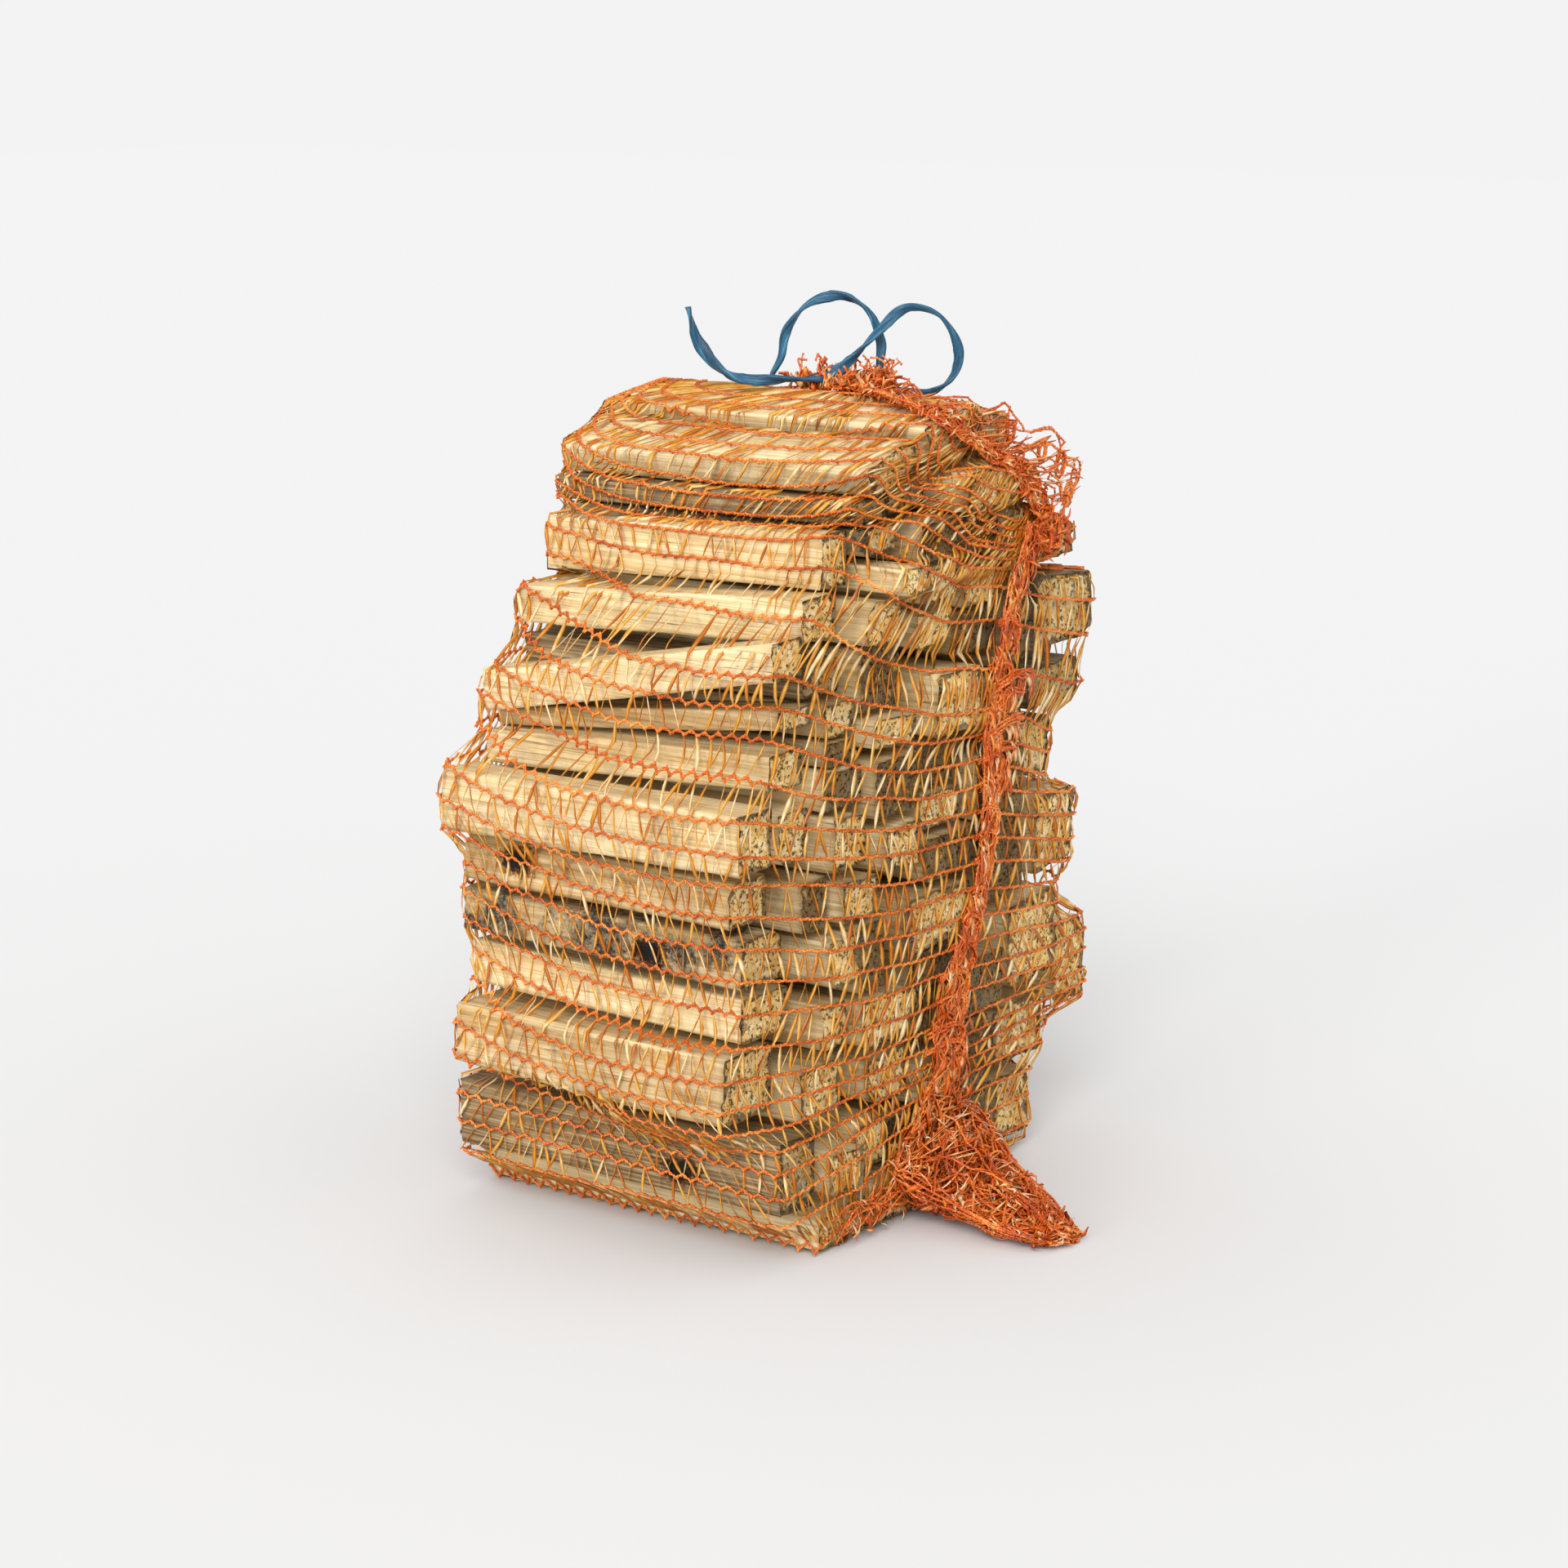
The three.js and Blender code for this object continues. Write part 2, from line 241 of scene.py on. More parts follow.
def torn_stick(stick, seed):
    """The points and faces of one stick, and how many of the faces are its sides."""
    turn = np.linspace(0, 2 * np.pi, AROUND, endpoint=False)
    rays = np.stack([np.zeros(AROUND), np.cos(turn), np.sin(turn)], axis=1)
    share = (1 - np.cos(np.linspace(0, np.pi, ALONG))) / 2
    share = 0.5 * share + 0.5 * np.linspace(0, 1, ALONG)
    axis = stick["left"] + (stick["right"] - stick["left"]) * share[:, None]
    origins = np.repeat(axis[:, None, :], AROUND, axis=1)
    directions = np.broadcast_to(rays, origins.shape)
    radius = leave(stick, origins, directions, along_x=False)
    place = origins + directions * radius[..., None]
    middle = (stick["left"] + stick["right"]) / 2
    for side, forward in ((0, -1.0), (-1, 1.0)):
        probe = place[side].copy()
        probe[:, 0] = middle[0]
        push = np.broadcast_to([forward, 0.0, 0.0], probe.shape)
        probe[:, 0] += forward * leave(stick, probe, push, along_x=True)
        place[side] = probe
    width = np.linalg.norm(np.diff(np.vstack([place[0], place[0][:1]]), axis=0), axis=1)
    arc = np.concatenate([[0], np.cumsum(width)[:-1]])
    arc = np.broadcast_to(arc, radius.shape)
    x = place[..., 0]
    fine = lattice_noise(np.stack([x / 0.05, arc / 0.0026, x * 0 + seed], axis=-1), seed)
    coarse = lattice_noise(np.stack([x / 0.11, arc / 0.009, x * 0 + seed], axis=-1), seed + 1)
    wave = lattice_noise(np.stack([x / 0.07, arc / 0.03, x * 0 + seed], axis=-1), seed + 2)
    depth = RIDGE_DEPTH * (0.5 + 0.5 * fine) + WAVE_DEPTH * (0.5 + 0.5 * wave)
    depth = depth + STEP_DEPTH * np.clip(coarse - 0.15, 0, 1)
    depth = np.minimum(depth, 0.3 * radius)
    place = place - directions * depth[..., None]
    fray = lattice_noise(np.stack([arc[0] / 0.004, arc[0] * 0, arc[0] * 0 + seed], axis=-1), seed + 3)
    nick = FRAY * np.clip(fray, 0, 1) ** 2
    place[0, :, 0] += nick
    place[-1, :, 0] -= np.roll(nick, AROUND // 3)
    points = [place.reshape(-1, 3)]
    count = ALONG * AROUND
    faces = []
    for i in range(ALONG - 1):
        for j in range(AROUND):
            k = (j + 1) % AROUND
            faces.append((i * AROUND + j, i * AROUND + k, (i + 1) * AROUND + k, (i + 1) * AROUND + j))
    sides = len(faces)
    for rim, forward in ((0, -1.0), (ALONG - 1, 1.0)):
        ring = place[rim]
        hub = ring.mean(axis=0)
        outer = list(range(rim * AROUND, rim * AROUND + AROUND))
        for scale in CAP_RINGS:
            inner = hub + (ring - hub) * scale
            across = inner * np.array([0, 1, 1]) + np.array([seed, 0, 0])
            grit = lattice_noise(across / np.array([1, GRIT, GRIT]), seed + 5)
            lump = lattice_noise(across / np.array([1, LUMP, LUMP]), seed + 6)
            inner[:, 0] -= forward * END_ROUGH * (0.75 + 0.5 * grit + 0.5 * lump)
            points.append(inner)
            now = list(range(count, count + AROUND))
            count += AROUND
            for j in range(AROUND):
                k = (j + 1) % AROUND
                quad = (outer[j], outer[k], now[k], now[j])
                faces.append(quad if forward < 0 else quad[::-1])
            outer = now
        points.append(hub[None] - np.array([[forward * END_ROUGH, 0, 0]]))
        for j in range(AROUND):
            k = (j + 1) % AROUND
            wedge = (outer[j], outer[k], count)
            faces.append(wedge if forward < 0 else wedge[::-1])
        count += 1
    faces = [face[::-1] for face in faces]
    return np.vstack(points), faces, sides


trial = torn_stick(sticks[0], 1)
print("grid of one stick:", len(trial[0]), "points,", len(trial[1]), "faces")

# %% [markdown]
# ## Materials of the wood
#
# A small helper keeps each node, its settings and its links on one line, so that a material
# reads from its pattern to its shader. Colours are written as the hex values that a paint or
# screen would use, and one function turns them to the linear light that the renderer works in.

# %% Colour and node helpers
def linear(code):
    """An sRGB hex colour as linear red, green, blue and alpha."""
    parts = [int(code[i:i + 2], 16) / 255 for i in (1, 3, 5)]
    return tuple(p / 12.92 if p <= 0.04045 else ((p + 0.055) / 1.055) ** 2.4 for p in parts) + (1.0,)


def add(tree, kind, settings=None, **inputs):
    """A node with its settings. An input is a value or another node's output socket."""
    item = tree.nodes.new(kind)
    for key, value in (settings or {}).items():
        setattr(item, key, value)
    for key, value in inputs.items():
        name = key.replace("_", " ")
        socket = item.inputs[int(key[1:])] if key[1:].isdigit() else item.inputs[name]
        if isinstance(value, bpy.types.NodeSocket):
            tree.links.new(value, socket)
        else:
            socket.default_value = value
    return item


def ramp(tree, factor, *stops):
    """A colour ramp over (place, hex colour) stops."""
    item = tree.nodes.new("ShaderNodeValToRGB")
    for i, (place, code) in enumerate(stops):
        stop = item.color_ramp.elements[i] if i < 2 else item.color_ramp.elements.new(place)
        stop.position = place
        stop.color = linear(code)
    tree.links.new(factor, item.inputs["Fac"])
    return item.outputs["Color"]


def new_material(name):
    made = bpy.data.materials.new(name)
    made.use_nodes = True
    made.node_tree.nodes.clear()
    return made, made.node_tree


def blend(tree, factor, first, second, mode="MIX"):
    settings = {"data_type": "RGBA", "blend_type": mode}
    return add(tree, "ShaderNodeMix", settings, i0=factor, i6=first, i7=second).outputs[2]


def number(tree, operation, first, second=0.0):
    return add(tree, "ShaderNodeMath", {"operation": operation}, i0=first, i1=second).outputs[0]


def vectors(tree, operation, first, second):
    return add(tree, "ShaderNodeVectorMath", {"operation": operation}, i0=first, i1=second).outputs[0]


def noise(tree, place, size, detail, rough=0.5):
    """Noise with features of about this size, in metres."""
    made = add(tree, "ShaderNodeTexNoise", Vector=place, Scale=1 / size, Detail=detail, Roughness=rough)
    return made.outputs["Fac"]


def streaks(tree, place, across, along, detail=3.0):
    """Noise in threads along X: across and along are the sizes of one streak in metres."""
    scale = (1 / along, 1 / across, 1 / across)
    return noise(tree, vectors(tree, "MULTIPLY", place, scale), 1.0, detail, 0.6)


print("linear of a pale wood colour:", np.round(linear("#E8CF9A"), 3))

# %% [markdown]
# **Split beech and birch, kiln-dried.** The face is pale straw with threads of darker late wood
# along the fibres, a millimetre or two wide and many centimetres long, and rare thin checks
# where it dried. Each stick has its own tone, a few are weathered brown or stained by bark, and
# these come as attributes on the mesh, so one material serves the whole stack.

# %% Material of the split faces
def wood_place(tree):
    """Object coordinates, moved by each stick's own shift so no two sticks share a grain."""
    coordinates = add(tree, "ShaderNodeTexCoord").outputs["Object"]
    shift = add(tree, "ShaderNodeAttribute", {"attribute_name": "grain_shift"}).outputs["Vector"]
    return vectors(tree, "ADD", coordinates, shift)


def share_of(tree, name):
    return add(tree, "ShaderNodeAttribute", {"attribute_name": name}).outputs["Fac"]


split_wood, tree = new_material("split_kiln_dried_hardwood")
place = wood_place(tree)
late_wood = streaks(tree, place, 2.6 * MM, 120 * MM)
threads = streaks(tree, place, 0.7 * MM, 45 * MM, 2.0)
bands = streaks(tree, place, 11 * MM, 400 * MM, 1.0)
pale = ramp(tree, late_wood, (0.30, "#D6BA84"), (0.45, "#E9D3A0"), (0.62, "#F5E5BC"))
tan = ramp(tree, late_wood, (0.30, "#A0804E"), (0.50, "#C6A671"), (0.66, "#DCC294"))
face = blend(tree, share_of(tree, "tone"), pale, tan)
thread_tint = ramp(tree, threads, (0.34, "#A88C62"), (0.47, "#FFFFFF"), (0.8, "#FFFFFF"))
face = blend(tree, 0.5, face, thread_tint, "MULTIPLY")
band_tint = ramp(tree, bands, (0.36, "#DCC49B"), (0.50, "#FFFFFF"), (0.75, "#FBF3E2"))
face = blend(tree, 0.5, face, band_tint, "MULTIPLY")
check = streaks(tree, place, 3.4 * MM, 190 * MM, 2.0)
check_line = ramp(tree, check, (0.655, "#FFFFFF"), (0.672, "#6B4A26"), (0.69, "#FFFFFF"))
face = blend(tree, 0.75, face, check_line, "MULTIPLY")
old_grain = streaks(tree, place, 1.5 * MM, 70 * MM, 4.0)
old = ramp(tree, old_grain, (0.34, "#2E2216"), (0.47, "#6E573A"), (0.60, "#A58A60"), (0.7, "#C3AD83"))
face = blend(tree, share_of(tree, "weather"), face, old)
stain = noise(tree, place, 26 * MM, 6.0, 0.68)
stain_edge = ramp(tree, stain, (0.44, "#000000"), (0.56, "#FFFFFF"))
stain_amount = number(tree, "MULTIPLY", stain_edge, share_of(tree, "dirt"))
bark_grain = noise(tree, place, 3 * MM, 5.0, 0.7)
bark = ramp(tree, bark_grain, (0.36, "#1F1A14"), (0.5, "#4C4335"), (0.64, "#8B8168"))
face = blend(tree, stain_amount, face, bark)
# a knot or a branch hole, at a place that each stick gives: dark in the middle, a brown ring
real_place = add(tree, "ShaderNodeTexCoord").outputs["Object"]
knot_place = add(tree, "ShaderNodeAttribute", {"attribute_name": "knot_at"}).outputs["Vector"]
from_knot = vectors(tree, "MULTIPLY", vectors(tree, "SUBTRACT", real_place, knot_place), (0.7, 0.5, 1.0))
far = add(tree, "ShaderNodeVectorMath", {"operation": "LENGTH"}, i0=from_knot).outputs["Value"]
uneven = number(tree, "MULTIPLY", number(tree, "SUBTRACT", bark_grain, 0.5), 18 * MM)
ring_at = number(tree, "DIVIDE", number(tree, "ADD", far, uneven), 20 * MM)
knot = ramp(tree, ring_at, (0.22, "#0E0A07"), (0.34, "#4A3018"), (0.44, "#B08A58"), (0.62, "#FFFFFF"))
face = blend(tree, 1.0, face, knot, "MULTIPLY")
relief = number(tree, "ADD", threads, number(tree, "MULTIPLY", late_wood, 1.6))
bump = add(tree, "ShaderNodeBump", Height=relief, Strength=0.55, Distance=0.5 * MM)
shader = add(
    tree, "ShaderNodeBsdfPrincipled", Base_Color=face, Roughness=0.72, Normal=bump.outputs[0], IOR=1.5,
)
shader.inputs["Specular IOR Level"].default_value = 0.3
add(tree, "ShaderNodeOutputMaterial", Surface=shader.outputs[0])
print("material:", split_wood.name, len(tree.nodes), "nodes")

# %% [markdown]
# ** Sawn end grain.** A coarse saw tears the fibres out in crumbs. The eye sees pale fluff,
# dark specks of a millimetre or so, which are painted shade in the pits where a crumb is missing, faint
# rings, and on some sticks a patch of grey-blue stain from before the wood was dried. The dark band round
# the rim of each end is painted shade too.

# %% Material of the sawn ends
end_grain, tree = new_material("sawn_end_grain")
place = wood_place(tree)
crumb = noise(tree, place, 3.2 * MM, 4.0, 0.72)
lump = noise(tree, place, 11 * MM, 2.0, 0.6)
pith = vectors(tree, "MULTIPLY", place, (0.0, 1.0, 1.0))
rings = add(
    tree, "ShaderNodeTexWave", {"wave_type": "RINGS", "rings_direction": "X"},
    Vector=pith, Scale=1 / (26 * MM), Distortion=1.6, Detail=2.0, Detail_Scale=2.0,
).outputs["Fac"]
body = ramp(tree, lump, (0.32, "#E2B564"), (0.48, "#F6D78E"), (0.66, "#FFF0BE"))
toned = blend(tree, number(tree, "MULTIPLY", share_of(tree, "tone"), 0.3), body, linear("#BC9862"))
ring_tint = ramp(tree, rings, (0.2, "#DCC39A"), (0.7, "#FFFFFF"))
toned = blend(tree, 0.3, toned, ring_tint, "MULTIPLY")
# painted shade: near-black specks in the pits, where the bump of the crumbs is lowest
painted_pit_shade = ramp(tree, crumb, (0.405, "#17110C"), (0.435, "#8A6A40"), (0.475, "#FFFFFF"))
toned = blend(tree, 0.85, toned, painted_pit_shade, "MULTIPLY")
fluff = ramp(tree, crumb, (0.58, "#000000"), (0.70, "#FFFFFF"))
toned = blend(tree, number(tree, "MULTIPLY", fluff, 0.6), toned, linear("#F7ECCB"))
grey = noise(tree, place, 19 * MM, 4.0, 0.7)
grey_edge = ramp(tree, grey, (0.58, "#000000"), (0.66, "#FFFFFF"))
toned = blend(tree, number(tree, "MULTIPLY", grey_edge, 0.5), toned, linear("#8B8F8C"))
old_share = number(tree, "MULTIPLY", share_of(tree, "weather"), 0.55)
toned = blend(tree, old_share, toned, linear("#4B3A27"))
# painted shade: a dark ragged band round the rim of each end stands for the shadow of its neighbours and
# the gaps between the sticks
ragged = number(tree, "MULTIPLY", number(tree, "SUBTRACT", lump, 0.42), 0.9)
inwards = number(tree, "SUBTRACT", share_of(tree, "rim"), ragged)
painted_rim_shade = ramp(tree, inwards, (0.02, "#4A2F16"), (0.13, "#FFFFFF"))
toned = blend(tree, 0.8, toned, painted_rim_shade, "MULTIPLY")
height = number(tree, "ADD", crumb, number(tree, "MULTIPLY", lump, 0.8))
bump = add(tree, "ShaderNodeBump", Height=height, Strength=1.0, Distance=1.4 * MM)
shader = add(
    tree, "ShaderNodeBsdfPrincipled", Base_Color=toned, Roughness=0.85, Normal=bump.outputs[0], IOR=1.5,
)
shader.inputs["Specular IOR Level"].default_value = 0.2
add(tree, "ShaderNodeOutputMaterial", Surface=shader.outputs[0])
print("material:", end_grain.name, len(tree.nodes), "nodes")

# %% [markdown]
# Each stick takes its tone from its slot in the record, with a little jitter, and its own shift
# of the grain. It replaces the frame's solid of the same name. Three sticks of the front have a
# knot.

# %% Build every stick
# tone goes from pale to tan, weather from fresh to brown, dirt from clean to bark-stained
LOOKS = {
    "split_wood": (0.12, 0.0, 0.12), "tan_wood": (0.62, 0.12, 0.15),
    "weathered_wood": (0.55, 0.85, 0.25), "dirty_wood": (0.55, 0.35, 0.95),
}
KNOTS_AT = {"stick_02": (50, -149, 50), "stick_05": (39, -164, 192), "stick_06": (-60, -168, 236)}
NO_KNOT = (0, 0, -999)
SLOT_OF = {entry["node"]: entry["material_slot"] for entry in frame["record"]["subparts"]}


def dress(item, looks, draws, sides, knot_at):
    """Gives a stick its attributes and its two materials. knot_at is in millimetres."""
    count = len(item.data.vertices)
    for name, value in zip(("tone", "weather", "dirt"), looks):
        set_attribute(item, name, np.full(count, value))
    set_attribute(item, "grain_shift", np.tile(draws, (count, 1)), "FLOAT_VECTOR")
    set_attribute(item, "knot_at", np.tile(np.array(knot_at) * MM, (count, 1)), "FLOAT_VECTOR")
    # the rim is 0 at the edge of a sawn end and grows to 1 at its middle; the end grain paints shade where
    # it is low
    cap = np.append(np.repeat(1 - np.array(CAP_RINGS), AROUND), 1)
    set_attribute(item, "rim", np.concatenate([np.zeros(ALONG * AROUND), cap, cap]))
    item.data.materials.append(split_wood)
    item.data.materials.append(end_grain)
    slots = np.ones(len(item.data.polygons), dtype=np.int32)
    slots[:sides] = 0
    item.data.polygons.foreach_set("material_index", slots)


wood_pieces = []
for index, stick in enumerate(sticks):
    points, faces, sides = torn_stick(stick, index + 11)
    piece = mesh_object(stick["name"] + "_wood", points, faces)
    slot = SLOT_OF[stick["name"]]
    jitter = RANDOM.uniform(-1, 1, 3)
    looks = np.clip(np.array(LOOKS[slot]) + jitter * np.array([0.14, 0.06, 0.1]), 0, 1)
    dress(piece, looks, RANDOM.uniform(-9, 9, 3), sides, KNOTS_AT.get(stick["name"], NO_KNOT))
    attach(piece, "root")
    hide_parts(stick["name"])
    wood_pieces.append(piece)
print("sticks built:", len(wood_pieces))

# %% [markdown]
# The inner sticks are torn in the same way and joined in one mesh. They have no rim attribute,
# so the painted rim shade covers their whole sawn ends and they come out dark: painted shade for ends that
# lie back in the stack.

# %% Build the inner sticks as one mesh
made = [torn_stick(stick, index + 101) for index, stick in enumerate(inner_sticks)]
each = len(made[0][0])  # every stick has the same number of points
inner_faces = [tuple(i + each * n for i in face) for n, (_, faces, _) in enumerate(made) for face in faces]
inner_wood = mesh_object("inner_sticks_wood", np.vstack([points for points, _, _ in made]), inner_faces)
for name, most in (("tone", 0.7), ("weather", 0.25), ("dirt", 0.3)):
    set_attribute(inner_wood, name, np.repeat(RANDOM.uniform(0, most, len(made)), each))
shifts = np.repeat(RANDOM.uniform(-9, 9, (len(made), 3)), each, axis=0)
set_attribute(inner_wood, "grain_shift", shifts, "FLOAT_VECTOR")
inner_wood.data.materials.append(split_wood)
inner_wood.data.materials.append(end_grain)
inner_slots = np.concatenate([[0] * sides + [1] * (len(faces) - sides) for _, faces, sides in made])
inner_wood.data.polygons.foreach_set("material_index", inner_slots.astype(np.int32))
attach(inner_wood, "root")
print("inner sticks:", len(inner_wood.data.polygons), "faces")

# %% [markdown]
# ## The net as a taut surface
#
# A raschel net is a tube of knitted yarn: chain-stitched cords run round it in rows, and flat
# tapes zigzag from row to row. Filled and tied, it is in tension, so each cord spans straight
# from one outermost edge of wood to the next, as a rubber band would. That gives a direct way
# to find its shape with no simulation. Rays from the middle of the stack find the outermost
# wood at many heights, and the convex hull of a level is the path of a taut cord. Above the
# shoulder the rays fan up like the ribs of a dome, so the rows close round the tied mouth.

# %% Rays from the middle of the stack to the outermost wood
ROW_PITCH = 20.4 * MM
SIDE_ROWS = 19
DOME_ROWS = 14
SUBROWS = 3  # levels for each row
LEVEL_STEP = ROW_PITCH / SUBROWS
ANGLES = 480
FIRST_HEIGHT = 8 * MM
SHOULDER = FIRST_HEIGHT + SIDE_ROWS * ROW_PITCH
MOUTH = np.array([12, 88]) * MM  # the tied mouth, seen from above
FRONT_REACH, BACK_REACH, SIDE_REACH = 235 * MM, 134 * MM, 140 * MM  # from the mouth to the edges
FRONT_EDGE_RISE = 60 * MM  # from the shoulder to the top front edge
MOUTH_RISE = 118 * MM
STEEP_SHARE = 0.35  # the sides and the back have risen all the way this early
MOUTH_SHARE = 0.94  # the last row, as a share of the way from the edge to the mouth
CORNER_POWER = 5.0  # 2 would make round rows on the top, more makes them squarer

turns = np.linspace(0, 2 * np.pi, ANGLES, endpoint=False)
flat_ways = np.stack([np.cos(turns), np.sin(turns)], axis=1)
level_count = (SIDE_ROWS + DOME_ROWS) * SUBROWS + 1
climb = np.arange(level_count) * LEVEL_STEP  # the way up the front and over the top


def smooth_step(value, low, high):
    part = np.clip((value - low) / (high - low), 0, 1)
    return part * part * (3 - 2 * part)


def top_share(way):
    """How far a level of the top has come from the front edge to the mouth, from 0 to 1."""
    over = way + FIRST_HEIGHT - SHOULDER - FRONT_EDGE_RISE
    return MOUTH_SHARE * np.clip(over / (DOME_ROWS * ROW_PITCH - FRONT_EDGE_RISE), 0, 1)


def top_half_sizes(share):
    """Half width, front and back depth of a level. Only the front shrinks evenly."""
    return SIDE_REACH * (1 - share ** 9), FRONT_REACH * (1 - share), BACK_REACH * (1 - share ** 2)


def level_rays():
    """The middle and the slope of the rays of every level."""
    middles, slopes = [], []
    forward = np.clip(-flat_ways[:, 1], 0, 1)
    for way in climb:
        height = min(FIRST_HEIGHT + way, SHOULDER)
        shift = smooth_step(height, 250 * MM, SHOULDER)
        middles.append([MOUTH[0] * shift, 15 * MM * (1 - shift) + MOUTH[1] * shift, height])
        share = top_share(way)
        side, front, back = top_half_sizes(share)
        deep = np.where(flat_ways[:, 1] < 0, front, back)
        wide = np.abs(flat_ways[:, 0] / side) ** CORNER_POWER
        outline = (wide + np.abs(flat_ways[:, 1] / deep) ** CORNER_POWER) ** (-1 / CORNER_POWER)
        steep = min(1, share / STEEP_SHARE)
        rise = (MOUTH_RISE - FRONT_EDGE_RISE) * (share * forward + steep * (1 - forward))
        slopes.append((rise + np.clip(way + FIRST_HEIGHT - SHOULDER, 0, FRONT_EDGE_RISE)) / outline)
    return np.array(middles), np.array(slopes)


all_sticks = sticks + inner_sticks


def outermost(origins, directions):
    """How far each ray runs before it has left the last stick."""
    best = np.zeros(directions.shape[:-1])
    for stick in all_sticks:
        speed = directions @ stick["normals"].T
        room = stick["offsets"] - origins @ stick["normals"].T
        with np.errstate(divide="ignore", invalid="ignore"):
            crossing = room / speed
        leave_at = np.where(speed > 1e-9, crossing, np.inf).min(axis=-1)
        enter_at = np.where(speed < -1e-9, crossing, -np.inf).max(axis=-1)
        missed = ((np.abs(speed) <= 1e-9) & (room < 0)).any(axis=-1)
        hit = (enter_at < leave_at) & (leave_at > 0) & ~missed
        best = np.where(hit, np.maximum(best, leave_at), best)
    return best


middles, slopes = level_rays()
ray_flat = np.broadcast_to(flat_ways, (level_count, ANGLES, 2))
ray_along = np.concatenate([ray_flat, slopes[..., None]], axis=-1)  # one unit outwards on the flat
wood_reach = outermost(middles[:, None, :], ray_along)
print("levels:", wood_reach.shape, "furthest wood", round(float(wood_reach.max()), 3), "m")

# %% [markdown]
# The hull of a level is a taut cord. Between rows the net is a straight sheet, and no row sinks
# far behind the straight line between its neighbours, because the tapes hold it out.

# %% Pull each row tight
NET_CLEAR = 1.4 * MM
ROW_SLACK = 15 * MM  # how far a row may sink behind the straight line between its neighbours


def taut(reach):
    """The convex hull of a closed curve round the middle, read back at the same angles."""
    points = flat_ways * reach[:, None]
    order = sorted(map(tuple, points))
    chains = []
    for run in (order, order[::-1]):
        chain = []
        for p in run:
            while len(chain) > 1:
                a, b = chain[-2], chain[-1]
                if (b[0] - a[0]) * (p[1] - a[1]) - (b[1] - a[1]) * (p[0] - a[0]) > 0:
                    break
                chain.pop()
            chain.append(p)
        chains.append(chain[:-1])
    hull = np.array(chains[0] + chains[1])
    angle = np.mod(np.arctan2(hull[:, 1], hull[:, 0]), 2 * np.pi)
    hull = hull[np.argsort(angle)]
    after = np.searchsorted(np.sort(angle), turns, side="right") % len(hull)
    start, edge = hull[after - 1], hull[after] - hull[after - 1]
    cross = flat_ways[:, 0] * edge[:, 1] - flat_ways[:, 1] * edge[:, 0]
    return (start[:, 0] * edge[:, 1] - start[:, 1] * edge[:, 0]) / cross


def tight_rows():
    """The reach of every level, straight between taut rows unless wood stands further out."""
    near = wood_reach.copy()
    side = SIDE_ROWS * SUBROWS
    near[1:side] = np.maximum(near[1:side], np.maximum(wood_reach[:side - 1], wood_reach[2:side + 1]))
    near[0] = np.maximum(wood_reach[0], wood_reach[1])
    tight = np.array([taut(level) for level in near])
    rows = tight[:side + 1:SUBROWS].copy()
    for _ in range(6):
        between = 0.5 * (rows[:-2] + rows[2:]) - ROW_SLACK
        rows[1:-1] = np.maximum(rows[1:-1], between)
    at = np.arange(side + 1) / SUBROWS
    low = np.minimum(at.astype(int), len(rows) - 2)
    part = (at - low)[:, None]
    tight[:side + 1] = np.maximum(rows[low] * (1 - part) + rows[low + 1] * part, wood_reach[:side + 1])
    return tight


net_reach = tight_rows()
print("net reach from", round(float(net_reach.min()), 3), "to", round(float(net_reach.max()), 3), "m")

# %% [markdown]
# Every row has the same number of stitches, and a column of stitches stays where it is on its
# way up. So five columns are held to the seam and to the four corners of each level, and the
# rest are spread evenly between them. The angles found are evened out from level to level, so
# that the columns run smoothly up the bag. Under the first row the levels shrink towards a
# point, flat between the wood and the floor.

# %% Count the stitches round each level
STITCHES = 228
BOTTOM_ROWS = 4
BOTTOM_HEIGHT = 1.6 * MM
BOTTOM_END = 0.15  # the size of the last bottom row, as a share of the first level
SEAM_FACE = 137 * MM
SEAM_HEIGHTS = np.array([20, 54, 99, 125, 150, 173, 196, 221, 249, 300, 351, 401, 436]) * MM
SEAM_SIDES = np.array([-20, 8, 20, 20, 28, 40, 50, 58, 60, 64, 80, 94, 128]) * MM
SEAM_TOP_ANGLE = math.radians(23)  # where the seam meets the mouth
HELD = (0, 23, 72, 139, 184, STITCHES)  # stitches at the seam, the four corners and the seam again
EVEN_HELD, EVEN_LEVELS = 12, 6  # how often the held columns and then all of them are evened out


def seam_angle(k):
    height = middles[k, 2]
    side = np.interp(height, SEAM_HEIGHTS, SEAM_SIDES)
    angle = math.atan2(side - middles[k, 1], SEAM_FACE - middles[k, 0])
    over = smooth_step(climb[k] + FIRST_HEIGHT - SHOULDER, 0, 70 * MM)
    return angle * (1 - over) + SEAM_TOP_ANGLE * over


def level_points(k, angle):
    """Points of level k at any angles, with the clearance off the wood."""
    reach = np.interp(angle, turns, net_reach[k], period=2 * np.pi)
    slope = np.interp(angle, turns, slopes[k], period=2 * np.pi)
    way = np.stack([np.cos(angle), np.sin(angle), slope], axis=-1)
    return middles[k] + way * (reach + NET_CLEAR / np.sqrt(1 + slope ** 2))[:, None]


def corner_angles(k):
    """The angles of the four corners of level k, turning left from the back right one."""
    if climb[k] + FIRST_HEIGHT > SHOULDER:
        side, front, back = top_half_sizes(top_share(climb[k]))
        ends = np.array([(side, back), (-side, back), (-side, -front), (side, -front)])
    else:
        loop = flat_ways * net_reach[k][:, None]
        ends = loop[[np.argmax(loop @ way) for way in ((1, 1), (-1, 1), (-1, -1), (1, -1))]]
    return np.mod(np.arctan2(ends[:, 1], ends[:, 0]), 2 * np.pi)


